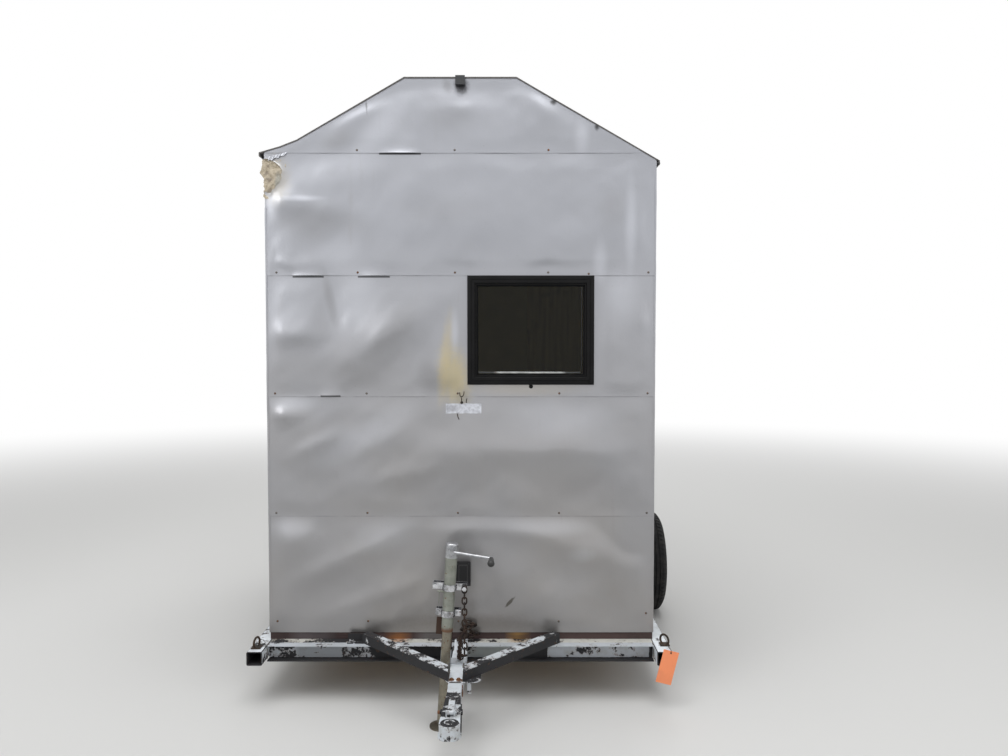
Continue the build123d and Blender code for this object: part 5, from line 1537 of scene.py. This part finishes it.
class HUT_OT_finishes(bpy.types.Operator):
    """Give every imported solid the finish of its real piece"""

    bl_idname = "hut.finishes"
    bl_label = "Finishes"

    def execute(self, context):
        colors = context.scene.hut_colors
        paint = tuple(colors.paint)
        self.rails(paint)
        self.beams(paint)
        self.tongue(paint)
        self.woods()
        self.jack(paint)
        dress(plain_finish("ridge_block_paint", (0.03, 0.032, 0.035), 0.6), "ridge_block")
        dress(dark_glass(), "window_glass")
        dress(plain_finish("door_paint", (0.42, 0.42, 0.41), 0.5, spread=0.14), "rear_door")
        dress(plated_steel("door_zinc", (0.50, 0.50, 0.50)), "lower_hinge", "upper_hinge", "door_handle")
        dress(chipped_paint("rim_paint", (0.62, 0.62, 0.60), 0.60, 0.66), "left_rim", "right_rim")
        dress(plated_steel("hub_zinc", (0.42, 0.42, 0.40), rust=0.55), "left_hub", "right_hub")
        dress(rusty_steel("dark_steel", (0.02, 0.018, 0.016), (0.07, 0.045, 0.03), 0.5),
              "left_tie_ring", "right_tie_ring")
        dress(plain_finish("box_plastic", (0.014, 0.014, 0.015), 0.55, specular=0.3), "junction_box")
        wire, tag_back, tag_face = (0.03, 0.028, 0.026), WALL_FRONT - 0.1649, WALL_FRONT - 0.16662
        dress(plain_finish("tag_plastic", tuple(colors.tag), 0.45, spread=0.10, tints=(
            (1.0, wire, dict(soft=0.0001, Y=(tag_back, 0.0))),
            (1.0, wire, dict(soft=0.0001, Y=(-FAR, tag_face))))), "orange_tag")
        return {"FINISHED"}

    def rails(self, paint):
        """White tubes, dark inside and on their cut ends."""
        hollow = dict(soft=0.0008, Z=(RAIL_LOW.z + 0.0008, FRAME_TOP - 0.0012))
        dress(chipped_paint("rail_paint", scaled(paint, 1.25), chips=(
            (0.6, dict(soft=0.0004, Y=(-FAR, RAIL_LOW.y + 0.0006))),
            (0.6, dict(hollow, X=(RAIL_LOW.x + 0.0012, RAIL_HIGH.x - 0.0012))),
            (0.6, dict(hollow, X=(-RAIL_HIGH.x + 0.0012, -RAIL_LOW.x - 0.0012))),
            (0.06, dict(soft=0.01, X=(-0.97, -0.92), Y=(WALL_FRONT - 0.10, WALL_FRONT - 0.02))),
            (0.06, dict(soft=0.02, Z=(0.19, 0.24))),
        )), "left_rail", "right_rail", "left_stub_axle", "right_stub_axle")

    def beams(self, paint):
        """The cross-beam, with painted shade on its front under a lighter top and dark stretches on its web
        and lower flange that are painted shadow of the top flange and braces as well as bare metal, and the
        braces, white only on top, their front legs dark as painted shade as well as bare metal.
        """
        top = FRAME_TOP
        low_edge = BEAM_LOW.z + 0.006
        web = dict(soft=0.004, Z=(low_edge, top - 0.006))
        # Painted shade: the front is a darker copy of the frame paint and its top is tinted back to the frame
        # paint; the bare stretches of web and the bare lower edge stand in for shadow under the top flange
        # and braces as well as chipped paint
        dress(chipped_paint("beam_paint_and_shade", (0.46, 0.49, 0.53), chips=(
            (0.5, dict(soft=0.002, Z=(0.0, low_edge))),
            (0.085, dict(web, X=(-0.92, -0.775))),
            (0.09, dict(web, X=(-0.56, -0.40))),
            (0.45, dict(web, X=(-0.40, -0.04))),
            (0.45, dict(web, X=(0.262, 0.405))),
            (0.10, dict(soft=0.01, X=(0.52, 0.62), Z=(0.215, 0.250))),
            (0.40, dict(web, X=(0.888, 0.95))),
        ), tints=(
            # Grey-blue and grey-green painted shade on the web under the top flange, and the frame paint on
            # the top
            (0.75, (0.20, 0.215, 0.235), dict(X=(-0.78, -0.53), Z=(0.19, 0.262))),
            (0.65, (0.22, 0.24, 0.215), dict(X=(0.03, 0.26), Z=(0.19, 0.262))),
            (0.80, paint, dict(Z=(0.2635, 0.30))),
        )), "front_crossbeam")
        dress(chipped_paint("cross_paint", paint, 0.55, chips=((0.08, dict(Z=(0.0, 0.21))),)),
              "middle_cross_member", "rear_cross_member")
        # Painted shade: the braces' front legs are left bare and dark, for their shade as well as lost paint
        leg = dict(soft=0.0015, X=(-0.428, 0.428), Y=(-FAR, WALL_FRONT - 0.045),
                   Z=(top + 0.001, top + 0.0395))
        dress(chipped_paint("brace_paint_and_shade", paint, 0.495, 0.53, chips=(
            (0.45, leg),
            (0.10, dict(soft=0.02, X=(-0.56, -0.36))),
            (0.10, dict(soft=0.02, X=(0.40, 0.50))),
        )), "left_brace", "right_brace")

    def tongue(self, paint):
        """Mottled tongue and coupler: the tongue's paint a lighter copy of the frame paint as painted light,
        rust at the tongue's end, dark crescents round the ball dome.
        """
        end = dict(soft=0.006, Y=(TONGUE_LOW.y - 0.002, TONGUE_LOW.y + 0.034))
        # Painted light: a lighter copy of the frame paint, against the hut's shadow on the tongue
        bright = scaled(paint, 1.4)
        dress(chipped_paint("tongue_lit_paint", bright, 0.635, 0.665, chips=(
            (0.16, end), (0.10, dict(soft=0.01, Z=(0.0, FRAME_TOP - 0.008)))),
            rusty=((0.35, end),), rust=(0.16, 0.075, 0.035), dirt=0.25), "tongue")
        bolt = dict(X=(-0.12, -0.0485), Y=(WALL_FRONT - 0.74, WALL_FRONT - 0.69))
        dress(chipped_paint("coupler_paint", paint, 0.50, 0.54, chips=(
            (0.05, dict(soft=0.01, Y=(BALL_Y + 0.05, BALL_Y + 0.26))),
            (-0.10, dict(soft=0.01, Y=(BALL_Y + 0.27, BALL_Y + 0.37))),
            (0.30, bolt),
            (0.10, dict(soft=0.004, Z=(0.0, COUPLER_LOW.z + 0.035), Y=(BALL_Y + 0.03, 0.0))),
        ), rings=((0.3, (0, BALL_Y, COUPLER_HIGH.z), 0.022, 0.034),), rusty=((0.5, bolt),), rust_low=0.66,
            rust=(0.20, 0.09, 0.045)), "coupler")
        dress(chipped_paint("latch_paint", paint, 0.49, 0.53), "coupler_latch")

    def woods(self):
        """Ledgers, sills, wall panels and deck."""
        orange, yellow = (0.42, 0.17, 0.045), (0.42, 0.24, 0.075)
        left, right = (-0.345, -0.262), (0.235, 0.305)
        bracket = (WALL_FRONT - 0.046, WALL_FRONT + 0.04)
        dress(chipped_paint("ledger_paint", (0.60, 0.60, 0.56), 0.50, 0.55, chips=(
            (0.06, dict(soft=0.03, X=(-0.70, -0.40))),
            (-0.10, dict(soft=0.03, X=(0.50, 0.92))),
        ), tints=((0.6, orange, dict(X=left, Y=bracket)), (0.6, yellow, dict(X=right, Y=bracket)))),
            "left_ledger", "right_ledger")
        across, upward = (0.05, 1, 1), (1, 1, 0.05)
        dress(board("front_sill_board", (0.062, 0.036, 0.034), (0.030, 0.018, 0.018), across, tints=(
            (0.7, orange, dict(X=left)), (0.7, yellow, dict(X=right)),
            (0.4, (0.13, 0.12, 0.13), dict(X=(-0.80, -0.62))),
            (0.5, (0.20, 0.20, 0.20), dict(X=(-0.20, -0.07))))), "front_sill")
        dress(board("sill_board", (0.10, 0.045, 0.03), (0.05, 0.024, 0.018), across),
              "rear_sill", "left_sill", "right_sill")
        dress(board("panel_board", (0.50, 0.36, 0.21), (0.36, 0.24, 0.13), upward),
              "front_wall", "rear_wall", "left_wall", "right_wall",
              "roof_top_panel", "roof_left_panel", "roof_right_panel", "floor_deck")

    def jack(self, paint):
        """Zinc on the jack's tube, ram, head and clamps, and a post that is painted low and rusty high."""
        foot = dict(soft=0.006, Z=(0.0, TUBE_LOW.z + 0.016))
        dress(plated_steel("jack_zinc", (0.30, 0.315, 0.275), 0.42, 0.62, metallic=0.6, shade=0.72,
                           tints=((0.85, (0.15, 0.062, 0.028), foot),)), "jack_tube")
        dress(plated_steel("ram_zinc", (0.30, 0.275, 0.215), 0.42, 0.58, metallic=0.6,
                           tints=((0.75, (0.07, 0.06, 0.05), dict(soft=0.01, Z=(0.0, 0.03))),)), "jack_ram")
        dress(plated_steel("bright_zinc", (0.54, 0.55, 0.57), 0.18, 0.74, shade=0.5),
              "jack_head", "jack_crank")
        dress(plated_steel("clamp_zinc", (0.78, 0.79, 0.82), 0.08, 0.60, metallic=1.0, shade=0.22),
              "upper_jack_clamp", "lower_jack_clamp")
        dress(plain_finish("grip_plastic", (0.02, 0.02, 0.02), 0.5), "crank_grip")
        ear = dict(soft=0.02, Z=(0.345, 1.0))
        dress(chipped_paint("post_paint", paint, chips=((0.6, ear),), rusty=((0.4, ear),),
                            rust=(0.055, 0.028, 0.018)), "jack_post")


class HUT_OT_stage(bpy.types.Operator):
    """Set the floor, the camera and the studio light"""

    bl_idname = "hut.stage"
    bl_label = "Stage"

    # How far the floor reaches, and between which distances it fades to white
    REACH, FADE = 60.0, (3.5, 14.0)

    def execute(self, context):
        stage = context.scene.hut_stage
        self.floor(stage)
        self.camera(context, stage)
        self.lamps(stage)
        self.world(context, stage)
        context.scene.view_settings.view_transform = "Standard"
        return {"FINISHED"}

    def seen_rays(self, tree):
        """1 for camera, glossy and transmission rays, which see the white background."""
        path = add_node(tree, "ShaderNodeLightPath")
        seen = path.outputs["Is Camera Ray"]
        for ray in ("Is Glossy Ray", "Is Transmission Ray"):
            either = {0: seen, 1: path.outputs[ray]}
            seen = add_node(tree, "ShaderNodeMath", either, operation="MAXIMUM").outputs["Value"]
        return seen

    def floor(self, stage):
        """A wide pale plane that keeps the shadow near the object and fades to white far away."""
        finish = Finish("studio_floor", tuple(stage.floor), roughness=0.9)
        tree = finish.tree
        away = finish.around((0, 0, 0), (1, 1, 1))
        fade = finish.times(finish.ramp(away, *self.FADE), self.seen_rays(tree))
        glow = finish.node("ShaderNodeEmission")
        mix = finish.node("ShaderNodeMixShader", {
            "Fac": fade, 1: finish.shader.outputs["BSDF"], 2: glow.outputs["Emission"]})
        tree.links.new(mix.outputs["Shader"], tree.nodes["Material Output"].inputs["Surface"])
        points = [(x * self.REACH, y * self.REACH, 0) for x, y in ((-1, -1), (1, -1), (1, 1), (-1, 1))]
        mesh = bpy.data.meshes.new("studio_floor")
        mesh.from_pydata(points, [], [(0, 1, 2, 3)])
        mesh.materials.append(finish.material)
        floor = bpy.data.objects.new("studio_floor", mesh)
        bpy.context.scene.collection.objects.link(floor)

    def camera(self, context, stage):
        """The photograph's viewpoint, measured from the window, the rails and the tyre."""
        data = bpy.data.cameras.new("photo_view")
        data.lens = stage.lens
        data.sensor_width = 36.0
        camera = bpy.data.objects.new("photo_view", data)
        camera.location = stage.camera_at
        camera.rotation_euler = (math.radians(90) - stage.pitch, 0, 0)
        context.scene.collection.objects.link(camera)
        context.scene.camera = camera

    def lamps(self, stage):
        """Large soft lamps: overhead, front left, front right and behind."""
        for name, place, aim, size, power in (
            ("overhead", (-0.6, -2.6, 7.2), (0, 0.0, 1.2), 6.0, stage.overhead),
            ("front_left", (-5.0, -5.5, 4.2), (0, -0.8, 1.5), 3.2, stage.overhead * 0.22),
            ("front_right", (5.5, -5.0, 3.2), (0, -0.8, 1.4), 2.6, stage.overhead * 0.15),
            ("behind", (1.0, 5.5, 6.5), (0, 1.0, 1.2), 5.0, stage.overhead * 0.55),
        ):
            data = bpy.data.lights.new(name, "AREA")
            data.size = size
            data.energy = power
            lamp = bpy.data.objects.new(name, data)
            lamp.location = place
            way = np.array(aim) - np.array(place)
            flat = math.hypot(way[0], way[1])
            lamp.rotation_euler = (math.atan2(flat, -way[2]), 0, math.atan2(way[1], way[0]) - math.pi / 2)
            bpy.context.scene.collection.objects.link(lamp)

    def world(self, context, stage):
        """White to the camera and in reflections, softer as light on the object."""
        world = bpy.data.worlds.new("studio")
        world.use_nodes = True
        context.scene.world = world
        tree = world.node_tree
        background = tree.nodes["Background"]
        background.inputs["Color"].default_value = (1, 1, 1, 1)
        strength = add_node(tree, "ShaderNodeMapRange", {
            "To Min": stage.fill, "To Max": 1.0, "Value": self.seen_rays(tree)})
        tree.links.new(strength.outputs["Result"], background.inputs["Strength"])


class HUT_PT_panel(bpy.types.Panel):
    """The hut's steps and settings"""

    bl_idname = "HUT_PT_panel"
    bl_label = "Ice Fishing Hut"
    bl_space_type = "VIEW_3D"
    bl_region_type = "UI"
    bl_category = "Hut"

    def draw(self, context):
        for operator in OPERATORS:
            self.layout.operator(operator.bl_idname)
        for group in (context.scene.hut_colors, context.scene.hut_sizes, context.scene.hut_stage):
            for name in group.__annotations__:
                self.layout.prop(group, name)


OPERATORS = (HUT_OT_finishes, HUT_OT_siding, HUT_OT_torn_corner, HUT_OT_window, HUT_OT_wall_bits, HUT_OT_roof,
             HUT_OT_rear_door, HUT_OT_trailer, HUT_OT_chain, HUT_OT_tyres, HUT_OT_stage)
SETTINGS = {"hut_colors": HutColors, "hut_sizes": HutSizes, "hut_stage": StageSettings}


def register():
    for group in (*SETTINGS.values(), *OPERATORS, HUT_PT_panel):
        bpy.utils.register_class(group)
    for name, group in SETTINGS.items():
        setattr(bpy.types.Scene, name, bpy.props.PointerProperty(type=group))


def unregister():
    for name in SETTINGS:
        delattr(bpy.types.Scene, name)
    for group in reversed((*SETTINGS.values(), *OPERATORS, HUT_PT_panel)):
        bpy.utils.unregister_class(group)


def main():
    """Run every step in order."""
    register()
    bpy.ops.hut.finishes()
    bpy.ops.hut.siding()
    bpy.ops.hut.torn_corner()
    bpy.ops.hut.window()
    bpy.ops.hut.wall_bits()
    bpy.ops.hut.roof()
    bpy.ops.hut.rear_door()
    bpy.ops.hut.trailer()
    bpy.ops.hut.chain()
    bpy.ops.hut.tyres()
    bpy.ops.hut.stage()


if __name__ == "__main__":
    main()
